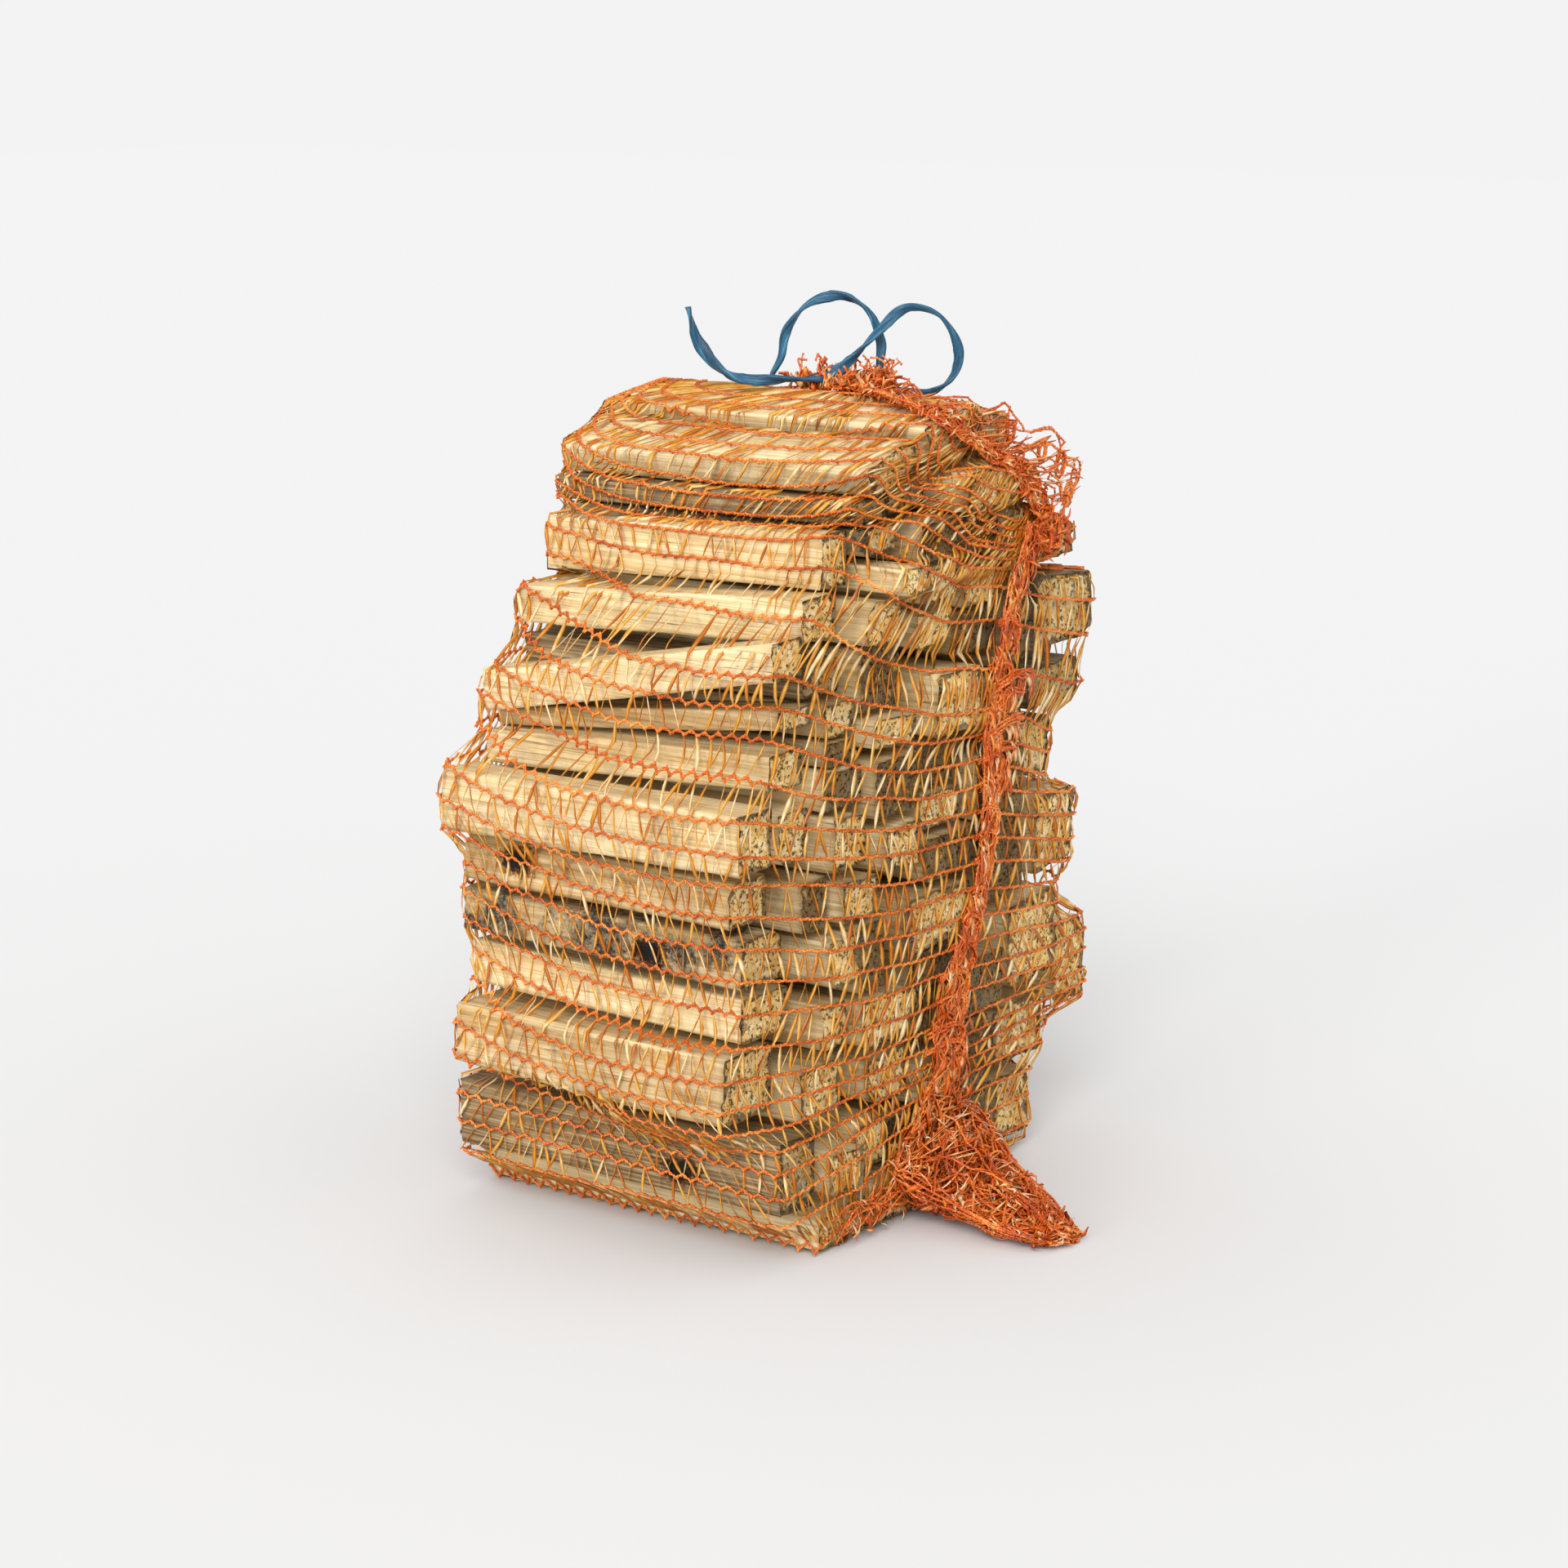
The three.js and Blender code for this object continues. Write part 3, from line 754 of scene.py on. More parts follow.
held_at = np.array([
    [seam_angle(k), *corner_angles(k), seam_angle(k) + 2 * np.pi] for k in range(level_count)
])
held_at = eased(held_at, EVEN_HELD)
angles, lengths = [], []
for k in range(level_count):
    sweep = held_at[k, 0] + np.linspace(0, 2 * np.pi, ANGLES + 1)
    run = np.linalg.norm(np.diff(level_points(k, sweep), axis=0), axis=1)
    run = np.concatenate([[0], np.cumsum(run)])
    held_run = np.interp(held_at[k], sweep, run)
    angles.append(np.interp(np.interp(np.arange(STITCHES), HELD, held_run), run, sweep))
    lengths.append(run[-1])
angles = eased(np.array(angles), EVEN_LEVELS)
upper = [level_points(k, angles[k]) for k in range(level_count)]
bottom = []
for step in range(BOTTOM_ROWS * SUBROWS, 0, -1):
    size = 1 - (1 - BOTTOM_END) * step / (BOTTOM_ROWS * SUBROWS)
    bottom.append(upper[0] * np.array([size, size, 0]) + np.array([0, 0, BOTTOM_HEIGHT]))
grid = np.array(bottom + upper)
lengths = np.array([lengths[0] * 0.6] * len(bottom) + lengths)
grid_climb = np.concatenate([np.full(len(bottom), 0.0), climb + FIRST_HEIGHT])
outward = np.cross(np.roll(grid, -1, axis=1) - np.roll(grid, 1, axis=1), np.gradient(grid, axis=0))
outward /= np.linalg.norm(outward, axis=-1, keepdims=True) + 1e-12
outward[..., 2] += 3 * smooth_step(grid_climb, 560 * MM, 620 * MM)[:, None]  # straight up at the mouth
outward /= np.linalg.norm(outward, axis=-1, keepdims=True) + 1e-12
print("net grid:", grid.shape, "a row is", round(float(lengths[30]), 3), "m long")

# %% [markdown]
# The rows don't run level. Knitting is a little shorter along the seam, and the mouth was
# pulled towards one side when it was tied. So the rows start high at the left end of the front
# face, sag across it, and drop further towards the seam on the cut ends, most of all near the
# top.

# %% How far a row sinks at each place
# the way up at which the drops are given, and the drops at the seam and behind it
DROP_AT = np.array([0, 60, 95, 120, 200, 300, 400, 460, 480, 500, 540, 600, 640, 665, 680]) * MM
SEAM_DROP = np.array([-16, -16, -9, 0, 15, 32, 52, 66, 75, 88, 120, 165, 170, 120, 0]) * MM
BACK_DROP = np.array([-8, -8, -4, 2, 30, 60, 85, 90, 85, 80, 60, 40, 10, 0, 0]) * MM
FRONT_SAG = 30 * MM
NET_FLOOR = 1.5 * MM  # the middle of a cord under the stack
# shares of the way round: seam, back corner, back, left end, left corner, four on the front, cut ends
PLACES = np.array([0, 0.10, 0.315, 0.59, 0.61, 0.65, 0.70, 0.76, 0.808, 0.845, 0.885, 0.94, 1.0])


def row_drop(way_up):
    """The drop of one row at each of its stitches."""
    seam = np.interp(way_up, DROP_AT, SEAM_DROP)
    back = np.interp(way_up, DROP_AT, BACK_DROP)
    sags = smooth_step(way_up, 30 * MM, 160 * MM) - smooth_step(way_up, 395 * MM, 450 * MM)
    front = FRONT_SAG * sags
    corner = 0.93 * front
    toward = np.sin(np.pi / 2 * (PLACES[9:] - PLACES[8]) / (1 - PLACES[8]))
    drops = [corner + seam, corner + back, 0.5 * back, 0, 0, 0.5 * front, 0.85 * front, front, corner]
    drops = np.concatenate([drops, corner + seam * toward])
    place = np.arange(STITCHES) / STITCHES
    found = np.interp(place, PLACES, drops)
    for _ in range(3):
        found = 0.25 * np.roll(found, 1) + 0.5 * found + 0.25 * np.roll(found, -1)
    return found


def on_net(level, stitch):
    """The point and the outward direction at fractional levels and stitches."""
    level = np.clip(level, 0, len(grid) - 1.001)
    low = level.astype(int)
    part = (level - low)[..., None]
    left = np.floor(stitch).astype(int)
    over = (stitch - left)[..., None]
    left, right = left % STITCHES, (left + 1) % STITCHES

    def read(table):
        lower = table[low, left] * (1 - over) + table[low, right] * over
        upper = table[low + 1, left] * (1 - over) + table[low + 1, right] * over
        return lower * (1 - part) + upper * part

    out = read(outward)
    return read(grid), out / (np.linalg.norm(out, axis=-1, keepdims=True) + 1e-12)


def clear_of_wood(points, out, clearance):
    """Moves points outwards until they are this far outside every stick."""
    points = points.copy()
    for _ in range(3):
        flat = points.reshape(-1, 3)
        inside = np.full(len(flat), -np.inf)
        for stick in all_sticks:
            depth = (stick["offsets"] - flat @ stick["normals"].T).min(axis=1)
            inside = np.maximum(inside, depth)
        push = np.maximum(inside + clearance, 0).reshape(points.shape[:-1])
        points = points + out * push[..., None]
    points[..., 2] = np.maximum(points[..., 2], NET_FLOOR)
    return points


print("drops at the seam:", [round(float(row_drop(h * MM)[0]) * 1000) for h in (60, 200, 400, 540)], "mm")

# %% [markdown]
# ## Stitched rows
#
# Each row is a chain of loops. At yarn scale it looks like a cord of two plies that cross once
# a stitch, pulled up and down in turn by the tapes, which draws the honeycomb line. One stitch
# is built once in a node tree, as two short helices on an S-shaped line, and its mirror image
# for the way back. They are set in turn on a point for every stitch.

# %% Places of the stitches
WAVE_FRONT = 2.0 * MM
WAVE_END = 0.7 * MM
DRIFT = 1.6 * MM  # slow unevenness of the knitting


def row_points(row):
    level = np.full(STITCHES, float(row * SUBROWS))
    way_up = grid_climb[row * SUBROWS]
    if way_up > 0:
        level = level - row_drop(way_up) / LEVEL_STEP
        level = np.maximum(level, BOTTOM_ROWS * SUBROWS - 1.5)
    stitch = np.arange(STITCHES, dtype=float)
    _, out = on_net(level, stitch)
    wave = WAVE_FRONT + (WAVE_END - WAVE_FRONT) * smooth_step(out[:, 0], 0.2, 0.7)
    wave = wave * (0.8 + 0.4 * RANDOM.random(STITCHES))
    crowd = np.clip(lengths[np.clip(level.astype(int), 0, len(lengths) - 1)] / 1.1, 0.1, 1)
    level = level + np.where(np.arange(STITCHES) % 2 == 1, 1, -1) * wave * crowd / LEVEL_STEP
    drift = lattice_noise(np.stack([stitch / 11, stitch * 0 + row * 3.7, stitch * 0], axis=-1), 5)
    level = level + drift * DRIFT / LEVEL_STEP
    point, out = on_net(level, stitch)
    return clear_of_wood(point, out, NET_CLEAR), out, level


row_count = (len(grid) - 1) // SUBROWS + 1
all_rows = [row_points(row) for row in range(row_count)]
print("rows of stitches:", row_count, "with", STITCHES, "in each")

# %% [markdown]
# A node tree builds the stitch and its mirror image, sets them in turn on the points of a source
# mesh, and makes them real. Attributes on the points give each stitch its direction, length and
# thickness, so the same tree knits rows and loose strands.

# %% A node tree that sets one stitch on each point
def new_tree(name, inputs):
    """A geometry tree with named inputs: the tree, its input sockets and its output node."""
    tree = bpy.data.node_groups.new(name, "GeometryNodeTree")
    tree.interface.new_socket("Geometry", in_out="INPUT", socket_type="NodeSocketGeometry")
    for label, (kind, value) in inputs.items():
        socket = tree.interface.new_socket(label, in_out="INPUT", socket_type=kind)
        if value is not None:
            socket.default_value = value
    tree.interface.new_socket("Geometry", in_out="OUTPUT", socket_type="NodeSocketGeometry")
    return tree, add(tree, "NodeGroupInput").outputs, tree.nodes.new("NodeGroupOutput")


def attribute(tree, name, kind="FLOAT"):
    return add(tree, "GeometryNodeInputNamedAttribute", {"data_type": kind}, Name=name).outputs[0]


def helix(tree, twist, phase, bend):
    """A unit length of ply along X that winds once round an S-shaped line."""
    line = add(tree, "GeometryNodeCurvePrimitiveLine", Start=(-0.54, 0, 0), End=(0.54, 0, 0)).outputs[0]
    line = add(tree, "GeometryNodeResampleCurve", {"mode": "COUNT"}, Curve=line, Count=4).outputs[0]
    along = add(tree, "GeometryNodeSplineParameter").outputs["Factor"]
    whole_turn = number(tree, "MULTIPLY", along, 2 * math.pi)
    sway = number(tree, "MULTIPLY", number(tree, "SINE", whole_turn), bend)
    angle = number(tree, "ADD", whole_turn, phase)
    side = number(tree, "ADD", number(tree, "MULTIPLY", number(tree, "SINE", angle), twist), sway)
    rise = number(tree, "MULTIPLY", number(tree, "COSINE", angle), twist)
    offset = add(tree, "ShaderNodeCombineXYZ", X=0.0, Y=side, Z=rise).outputs[0]
    return add(tree, "GeometryNodeSetPosition", Geometry=line, Offset=offset).outputs[0]


def three_sided(tree, radius):
    circle = add(tree, "GeometryNodeCurvePrimitiveCircle", {"mode": "RADIUS"}, Resolution=3, Radius=radius)
    return circle.outputs[0]


def stitch_tree():
    tree, given, end = new_tree("chain_stitch_rows", {
        "Ply Radius": ("NodeSocketFloat", 0.78 * MM), "Twist": ("NodeSocketFloat", 0.6 * MM),
        "Bend": ("NodeSocketFloat", 0.45 * MM), "Material": ("NodeSocketMaterial", None),
    })
    ring = three_sided(tree, given["Ply Radius"])
    both = add(tree, "GeometryNodeJoinGeometry")
    for way in (-1.0, 1.0):
        plies = add(tree, "GeometryNodeJoinGeometry")
        bend = number(tree, "MULTIPLY", given["Bend"], way)
        for phase in (0.0, math.pi):
            tree.links.new(helix(tree, given["Twist"], phase, bend), plies.inputs[0])
        swept = add(
            tree, "GeometryNodeCurveToMesh", Curve=plies.outputs[0], Profile_Curve=ring, Fill_Caps=True,
        )
        one = add(tree, "GeometryNodeGeometryToInstance", Geometry=swept.outputs[0])
        tree.links.new(one.outputs[0], both.inputs[0])
    turned = add(
        tree, "FunctionNodeAlignRotationToVector", {"axis": "X"},
        Vector=attribute(tree, "along", "FLOAT_VECTOR"),
    )
    turned = add(
        tree, "FunctionNodeAlignRotationToVector", {"axis": "Z", "pivot_axis": "X"},
        Rotation=turned.outputs[0], Vector=attribute(tree, "out", "FLOAT_VECTOR"),
    )
    thick = attribute(tree, "thick")
    size = add(tree, "ShaderNodeCombineXYZ", X=attribute(tree, "length"), Y=thick, Z=thick)
    placed = add(
        tree, "GeometryNodeInstanceOnPoints", Points=given["Geometry"], Instance=both.outputs[0],
        Pick_Instance=True, Instance_Index=attribute(tree, "way", "INT"),
        Rotation=turned.outputs[0], Scale=size.outputs[0],
    )
    real = add(tree, "GeometryNodeRealizeInstances", Geometry=placed.outputs[0])
    done = add(tree, "GeometryNodeSetMaterial", Geometry=real.outputs[0], Material=given["Material"])
    tree.links.new(done.outputs[0], end.inputs[0])
    return tree


def from_tree(name, source, tree, material):
    """Runs a node tree on a source mesh and returns the result as a plain mesh object."""
    change = source.modifiers.new("nodes", "NODES")
    change.node_group = tree
    sockets = {item.name: item.identifier for item in tree.interface.items_tree}
    change[sockets["Material"]] = material
    ready = source.evaluated_get(bpy.context.evaluated_depsgraph_get())
    mesh = bpy.data.meshes.new_from_object(ready)
    mesh.name = name
    mesh.materials.clear()
    mesh.materials.append(material)
    source.modifiers.clear()
    bpy.data.objects.remove(source, do_unlink=True)
    mesh.polygons.foreach_set("use_smooth", [True] * len(mesh.polygons))
    return new_object(name, mesh)


def stitch_source(name, runs):
    """Points at the middle of every stitch of (points, outward, thickness, closed) runs."""
    columns = {"along": [], "out": [], "length": [], "thick": [], "way": []}
    middles = []
    for points, out, width, closed in runs:
        ahead = np.roll(points, -1, axis=0) - points
        if not closed:
            points, out, ahead = points[:-1], out[:-1], ahead[:-1]
        span = np.linalg.norm(ahead, axis=1)
        middles.append(points + ahead / 2)
        columns["along"].append(ahead / (span[:, None] + 1e-12))
        columns["out"].append(out)
        columns["length"].append(span)
        columns["thick"].append(np.full(len(span), width))
        columns["way"].append(np.arange(len(span)) % 2)
    item = mesh_object(name, np.vstack(middles), [])
    kinds = {"along": "FLOAT_VECTOR", "out": "FLOAT_VECTOR", "way": "INT"}
    for key, values in columns.items():
        set_attribute(item, key, np.concatenate(values), kinds.get(key, "FLOAT"))
    return item


rows_tree = stitch_tree()
print("tree:", rows_tree.name, len(rows_tree.nodes), "nodes")

# %% [markdown]
# **Extruded polyethylene yarn, orange.** The cord is a film slit and twisted, so it has a
# waxy shine, lets a little light through, and its shade drifts along the row where it is
# stretched or doubled.

# %% Material of the yarn
def yarn_material(name, low, middle, high, rough):
    made, tree = new_material(name)
    place = add(tree, "ShaderNodeTexCoord").outputs["Object"]
    drift = noise(tree, place, 30 * MM, 3.0)
    fibre = noise(tree, place, 1.6 * MM, 2.0)
    mixed = number(tree, "ADD", number(tree, "MULTIPLY", drift, 0.5), number(tree, "MULTIPLY", fibre, 0.5))
    colour = ramp(tree, mixed, (0.38, low), (0.5, middle), (0.62, high))
    bump = add(tree, "ShaderNodeBump", Height=fibre, Strength=0.35, Distance=0.3 * MM)
    shader = add(
        tree, "ShaderNodeBsdfPrincipled", Base_Color=colour, Roughness=rough, Normal=bump.outputs[0],
        IOR=1.51, Subsurface_Weight=0.05, Subsurface_Scale=1.0 * MM, Subsurface_Radius=(1.0, 0.4, 0.15),
    )
    add(tree, "ShaderNodeOutputMaterial", Surface=shader.outputs[0])
    return made


row_yarn = yarn_material("twisted_polyethylene_yarn", "#B04A08", "#DE6C10", "#F4A048", 0.42)
print("material:", row_yarn.name)

# %% [markdown]
# The rows are knitted in three pieces, thirteen rows or fewer in each.

# %% Knit the rows
ROWS_A_PIECE = 13
row_pieces = []
for first in range(0, row_count, ROWS_A_PIECE):
    runs = [(points, out, 1.0, True) for points, out, _ in all_rows[first:first + ROWS_A_PIECE]]
    source = stitch_source("row_places", runs)
    piece = from_tree(f"net_rows_{len(row_pieces) + 1}", source, rows_tree, row_yarn)
    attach(piece, "root")
    row_pieces.append(piece)
print("row pieces:", [len(p.data.polygons) for p in row_pieces], "faces")

# %% [markdown]
# ## Tapes between the rows
#
# The tapes are flat strips of the same film, two for every wave of the honeycomb. Tension
# makes them straight, and each has its own small twist, so wide ones alternate with ones that
# stand on edge. On the top the mouth pulls the rows past each other, so the tapes there all
# lean one way. A tape is a short line of points along the surface, and a second node tree
# sweeps a thin flat section along it.

# %% Paths of the tapes
LEAN_FROM, LEAN_ALL = 430 * MM, 480 * MM  # the way up between which the tapes start to lean
TOP_LEAN = 1.7  # stitches
TORN_ANYWHERE, TORN_MORE = 0.12, 0.2
EDGE_ON = 0.28  # share of the tapes that stand on edge
TAPE_CLEAR = 0.9 * MM
# in half widths of the plain strip, wide enough for the film to cover three tenths of the net
TAPE_WIDTHS = (0.75, 1.32)


def tape_paths():
    levels, stitches = [], []
    steps = np.linspace(0, 1, SUBROWS + 1)
    column = np.arange(STITCHES)
    odd = column % 2
    for row in range(row_count - 1):
        low, high = all_rows[row][2], all_rows[row + 1][2]
        lean = smooth_step(grid_climb[row * SUBROWS], LEAN_FROM, LEAN_ALL)
        start = (column + 1 - odd) * (1 - lean) + column * lean
        finish = (column + odd) * (1 - lean) + (column + TOP_LEAN) * lean
        start = start + RANDOM.normal(0, 0.18, STITCHES)
        finish = finish + RANDOM.normal(0, 0.18 + 0.3 * lean, STITCHES)
        from_level = np.interp(start, column, low, period=STITCHES)
        to_level = np.interp(finish, column, high, period=STITCHES)
        levels.append(from_level[:, None] * (1 - steps) + to_level[:, None] * steps)
        stitches.append(start[:, None] * (1 - steps) + finish[:, None] * steps)
    return np.vstack(levels), np.vstack(stitches)


levels, stitches = tape_paths()
tape_points, tape_out = on_net(levels, stitches)
# some tapes are torn or pulled aside, more of them over the cut ends and on the top
torn = TORN_ANYWHERE + TORN_MORE * smooth_step(np.maximum(tape_out[:, 1, 0], tape_out[:, 1, 2]), 0.3, 0.8)
kept = RANDOM.random(len(tape_points)) > torn
tape_points, tape_out = clear_of_wood(tape_points[kept], tape_out[kept], TAPE_CLEAR), tape_out[kept]
count = len(tape_points)
on_edge = RANDOM.random(count) < EDGE_ON
rolls = np.where(on_edge, RANDOM.uniform(0.9, 1.5, count), RANDOM.normal(0, 0.35, count))
widths = RANDOM.uniform(*TAPE_WIDTHS, count)
# each tape's tone: its depth of amber, and at the high end a painted glint
tones_and_glints = RANDOM.random(count)
print("tapes:", count)

# %% A node tree that sweeps a flat strip
def tape_tree():
    tree, given, end = new_tree("flat_tapes", {
        "Half Width": ("NodeSocketFloat", 1.6 * MM), "Thickness": ("NodeSocketFloat", 0.22 * MM),
        "Material": ("NodeSocketMaterial", None),
    })
    curve = add(tree, "GeometryNodeMeshToCurve", Mesh=given["Geometry"]).outputs[0]
    normal = attribute(tree, "out", "FLOAT_VECTOR")
    curve = add(tree, "GeometryNodeSetCurveNormal", {"mode": "FREE"}, Curve=curve, Normal=normal)
    size = add(tree, "ShaderNodeCombineXYZ", X=given["Half Width"], Y=given["Thickness"], Z=1.0).outputs[0]
    section = add(tree, "GeometryNodeTransform", Geometry=three_sided(tree, 1.0), Scale=size).outputs[0]
    along = add(tree, "GeometryNodeSplineParameter").outputs["Factor"]
    belly = number(tree, "SINE", number(tree, "MULTIPLY", along, math.pi))
    narrow = number(tree, "ADD", number(tree, "MULTIPLY", belly, 0.7), 0.3)
    scale = number(tree, "MULTIPLY", narrow, attribute(tree, "wide"))
    strip = add(
        tree, "GeometryNodeCurveToMesh", Curve=curve.outputs[0], Profile_Curve=section, Scale=scale,
        Fill_Caps=True,
    )
    done = add(tree, "GeometryNodeSetMaterial", Geometry=strip.outputs[0], Material=given["Material"])
    real = add(tree, "GeometryNodeRealizeInstances", Geometry=done.outputs[0])
    tree.links.new(real.outputs[0], end.inputs[0])
    return tree


def tape_source(name, points, out, width, roll, tone):
    """One line of edges for each tape. roll turns its flat side off the surface."""
    count, length = points.shape[:2]
    along = np.gradient(points, axis=1)
    along /= np.linalg.norm(along, axis=-1, keepdims=True) + 1e-12
    side = np.cross(along, out)
    side /= np.linalg.norm(side, axis=-1, keepdims=True) + 1e-12
    out = np.cross(side, along)
    angle = np.broadcast_to(roll[:, None], (count, length))[..., None]
    out = out * np.cos(angle) + side * np.sin(angle)
    index = np.arange(count * length).reshape(count, length)
    edges = np.stack([index[:, :-1].ravel(), index[:, 1:].ravel()], axis=1)
    item = mesh_object(name, points.reshape(-1, 3), [], edges.tolist())
    set_attribute(item, "out", out.reshape(-1, 3), "FLOAT_VECTOR")
    set_attribute(item, "wide", np.repeat(width, length))
    # tone: the tape's depth of amber, with a painted glint at its high end
    set_attribute(item, "tone", np.repeat(tone, length))
    return item


strips_tree = tape_tree()
print("tree:", strips_tree.name, len(strips_tree.nodes), "nodes")

# %% [markdown]
# ** Slit polyethylene film, amber.** A single layer of the film is thin enough to see the wood
# through, so it reads as amber rather than orange. Each tape has its own tone, from deep amber
# where it is doubled to a pale cream that is a painted glint, and it also glints from its shine where it
# is flat.

# %% Material of the tapes
def film_material(name, *stops, see_through):
    made, tree = new_material(name)
    place = add(tree, "ShaderNodeTexCoord").outputs["Object"]
    drift = noise(tree, place, 9 * MM, 3.0)
    # the tone attribute sets each tape's depth of amber and, at its pale end, a painted glint
    tone = add(tree, "ShaderNodeAttribute", {"attribute_name": "tone"}).outputs["Fac"]
    mixed = number(tree, "ADD", number(tree, "MULTIPLY", drift, 0.6), number(tree, "MULTIPLY", tone, 0.4))
    colour = ramp(tree, mixed, *stops)
    shader = add(
        tree, "ShaderNodeBsdfPrincipled", Base_Color=colour, Roughness=0.3, IOR=1.51,
        Alpha=1 - see_through,
    )
    add(tree, "ShaderNodeOutputMaterial", Surface=shader.outputs[0])
    return made


# the palest stop is a painted glint
amber_film = film_material(
    "slit_polyethylene_film", (0.34, "#C46C0C"), (0.48, "#E29A2C"), (0.60, "#EFB658"), (0.71, "#FBE0AC"),
    see_through=0.14,
)
print("material:", amber_film.name)

# %% [markdown]
# The tapes stand for the whole net in the frame, so this piece replaces its solid. Its film area
# is added up from the faces, counting one side.

# %% Lace the tapes
source = tape_source("tape_lines", tape_points, tape_out, widths, rolls, tones_and_glints)
net_tapes = from_tree("net_tapes", source, strips_tree, amber_film)
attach(net_tapes, "root")
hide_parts("net_bag")
TAPE_AREA = sum(face.area for face in net_tapes.data.polygons) / 2
print("tapes:", len(net_tapes.data.polygons), "faces,", round(TAPE_AREA, 3), "square metres one side")

# %% [markdown]
# ## Seam, tail and mouth
#
# Where the net is sewn, gathered or tied, its cords bunch up and lose their order. Each such
# place is a bundle of strands that wander about a common path. A strand takes a path, a place
# inside the bundle and its own slow noise, so it never leaves the bundle, and the same two
# node trees knit it: cords from stitches and crumpled film from strips.

# %% Strands that wander in a bundle
strand_runs = []
ribbon_parts = []
RIBBON_OUT = np.array([1.0, 0.15, 0.2])  # off the cut ends, a little up and back


def resampled(path, step):
    """Points at equal steps along a path of corners."""
    path = np.asarray(path, dtype=float)
    run = np.concatenate([[0], np.cumsum(np.linalg.norm(np.diff(path, axis=0), axis=1))])
    at = np.linspace(0, run[-1], max(int(round(run[-1] / step)), 3) + 1)
    return np.stack([np.interp(at, run, path[:, i]) for i in range(3)], axis=1)


def line_noise(at, seed, row=0.0, layer=0.0):
    """Noise along a line of places, on any row and layer of the lattice."""
    return lattice_noise(np.stack([at, at * 0 + row, at * 0 + layer], axis=-1), seed)


def wander(count, reach, size, seed):
    """A slow random walk in three directions, for this many steps, size steps to a bend."""
    at = np.arange(count) / size
    return reach * np.stack([line_noise(at, 21, seed, axis) for axis in range(3)], axis=1)


ABOVE_FLOOR = 2.1 * MM  # the middle of a strand lying on the floor


def add_strand(points, out, thick=0.9):
    """A chain-stitched cord along points. out is any direction off the surface."""
    points = points.copy()
    points[:, 2] = np.maximum(points[:, 2], ABOVE_FLOOR)
    out = np.broadcast_to(np.asarray(out, dtype=float), points.shape)
    strand_runs.append((points, out, thick, False))


def add_ribbon(start, finish, bulge, width, tone):
    """A strip of film on four points from start to finish, bulging on its way."""
    share = np.linspace(0, 1, 4)[:, None]
    points = start * (1 - share) + finish * share + bulge * np.sin(np.pi * share)
    points[:, 2] = np.maximum(points[:, 2], ABOVE_FLOOR + 0.5 * width * MM)
    ribbon_parts.append((points, width, RANDOM.uniform(0, np.pi), tone))


def unit(vector):
    return vector / (np.linalg.norm(vector) + 1e-12)


def add_scrap(spot, way, lift, widths=(0.7, 1.6), tones_and_glints=(0, 1)):
    """A short strip of film about a spot, reaching the same way to both sides."""
    width, tone = RANDOM.uniform(*widths), RANDOM.uniform(*tones_and_glints)
    add_ribbon(spot - way, spot + way, np.asarray(lift) * MM, width, tone)


print("wander of a strand:", np.round(wander(4, 1.0, 3.0, 2), 2).tolist())

# %% [markdown]
# The side seam is where the tube of net was closed. Its cords run down it together, now close,
# now spread, and loose film fills the space between them. Where a row of the net is caught in
# the sewing, its last stitches turn over and run down the seam as a hook. Near the middle of
# the bag a few rows are folded double behind the seam.

# %% The side seam
# height, place of the middle and half the width, in millimetres, from the knot to the tail
SEAM = np.array([
    (430, 128, 11), (401, 108, 12), (377, 94, 8), (351, 88, 9), (327, 76, 9), (300, 73, 8),
    (274, 72, 8), (249, 70, 8), (221, 67, 7), (196, 57, 6), (173, 47, 9), (150, 33, 13),
    (125, 24, 15), (99, 24, 19), (77, 18, 26), (54, 16, 34),
]) * MM
SEAM_CORDS, SEAM_FILM = 11, 420
SEAM_LIFT = 3.6 * MM
STITCH = 5.4 * MM

seam_height = np.arange(SEAM[0, 0], SEAM[-1, 0], -STITCH)
seam_middle, seam_half = (np.interp(-seam_height, -SEAM[:, 0], SEAM[:, i]) for i in (1, 2))
seam_steps = len(seam_height)
for cord in range(SEAM_CORDS):
    sway = wander(seam_steps, 1.0, 2.4, cord * 7.3)
    across = np.clip(RANDOM.uniform(-0.8, 0.8) + 1.1 * sway[:, 1], -1.1, 1.1)
    depth = SEAM_FACE + RANDOM.uniform(0, SEAM_LIFT) + 1.5 * MM * sway[:, 0]
    points = np.stack([depth, seam_middle + across * seam_half, seam_height + 2 * MM * sway[:, 2]], axis=1)
    add_strand(points, (1, 0, 0), RANDOM.uniform(0.55, 0.8))
for piece in range(SEAM_FILM):
    i = int(RANDOM.integers(1, seam_steps - 1))
    across = RANDOM.uniform(-1, 1) * seam_half[i]
    spot = np.array([SEAM_FACE + RANDOM.uniform(0, SEAM_LIFT), seam_middle[i] + across, seam_height[i]])
    half = np.array([RANDOM.uniform(-1, 1), RANDOM.normal(0, 3), RANDOM.uniform(4, 9)]) * MM
    bulge = [RANDOM.uniform(0, 2.5), RANDOM.normal(0, 2), 0]
    add_scrap(spot, half, bulge, (0.6, 1.4), (0, 0.9))
print("seam steps:", seam_steps, "cords:", SEAM_CORDS)

# %% [markdown]
# A hook is a short bundle of strands on a bent path, one for each row that meets the seam. A
# fold is a wider bundle that runs back from the seam, with film hanging from it.

# %% Hooks where the rows meet the seam, and folds behind it
# forward, across and up from the middle of the seam; across is in half widths
HOOK = [
    (0, -1.3, -0.5), (1.5, -0.7, 2.5), (3, 0, 3.5), (4, 0.7, 1.5),
    (4, 1, -4), (3, 0.9, -11), (1, 0.6, -18),
]
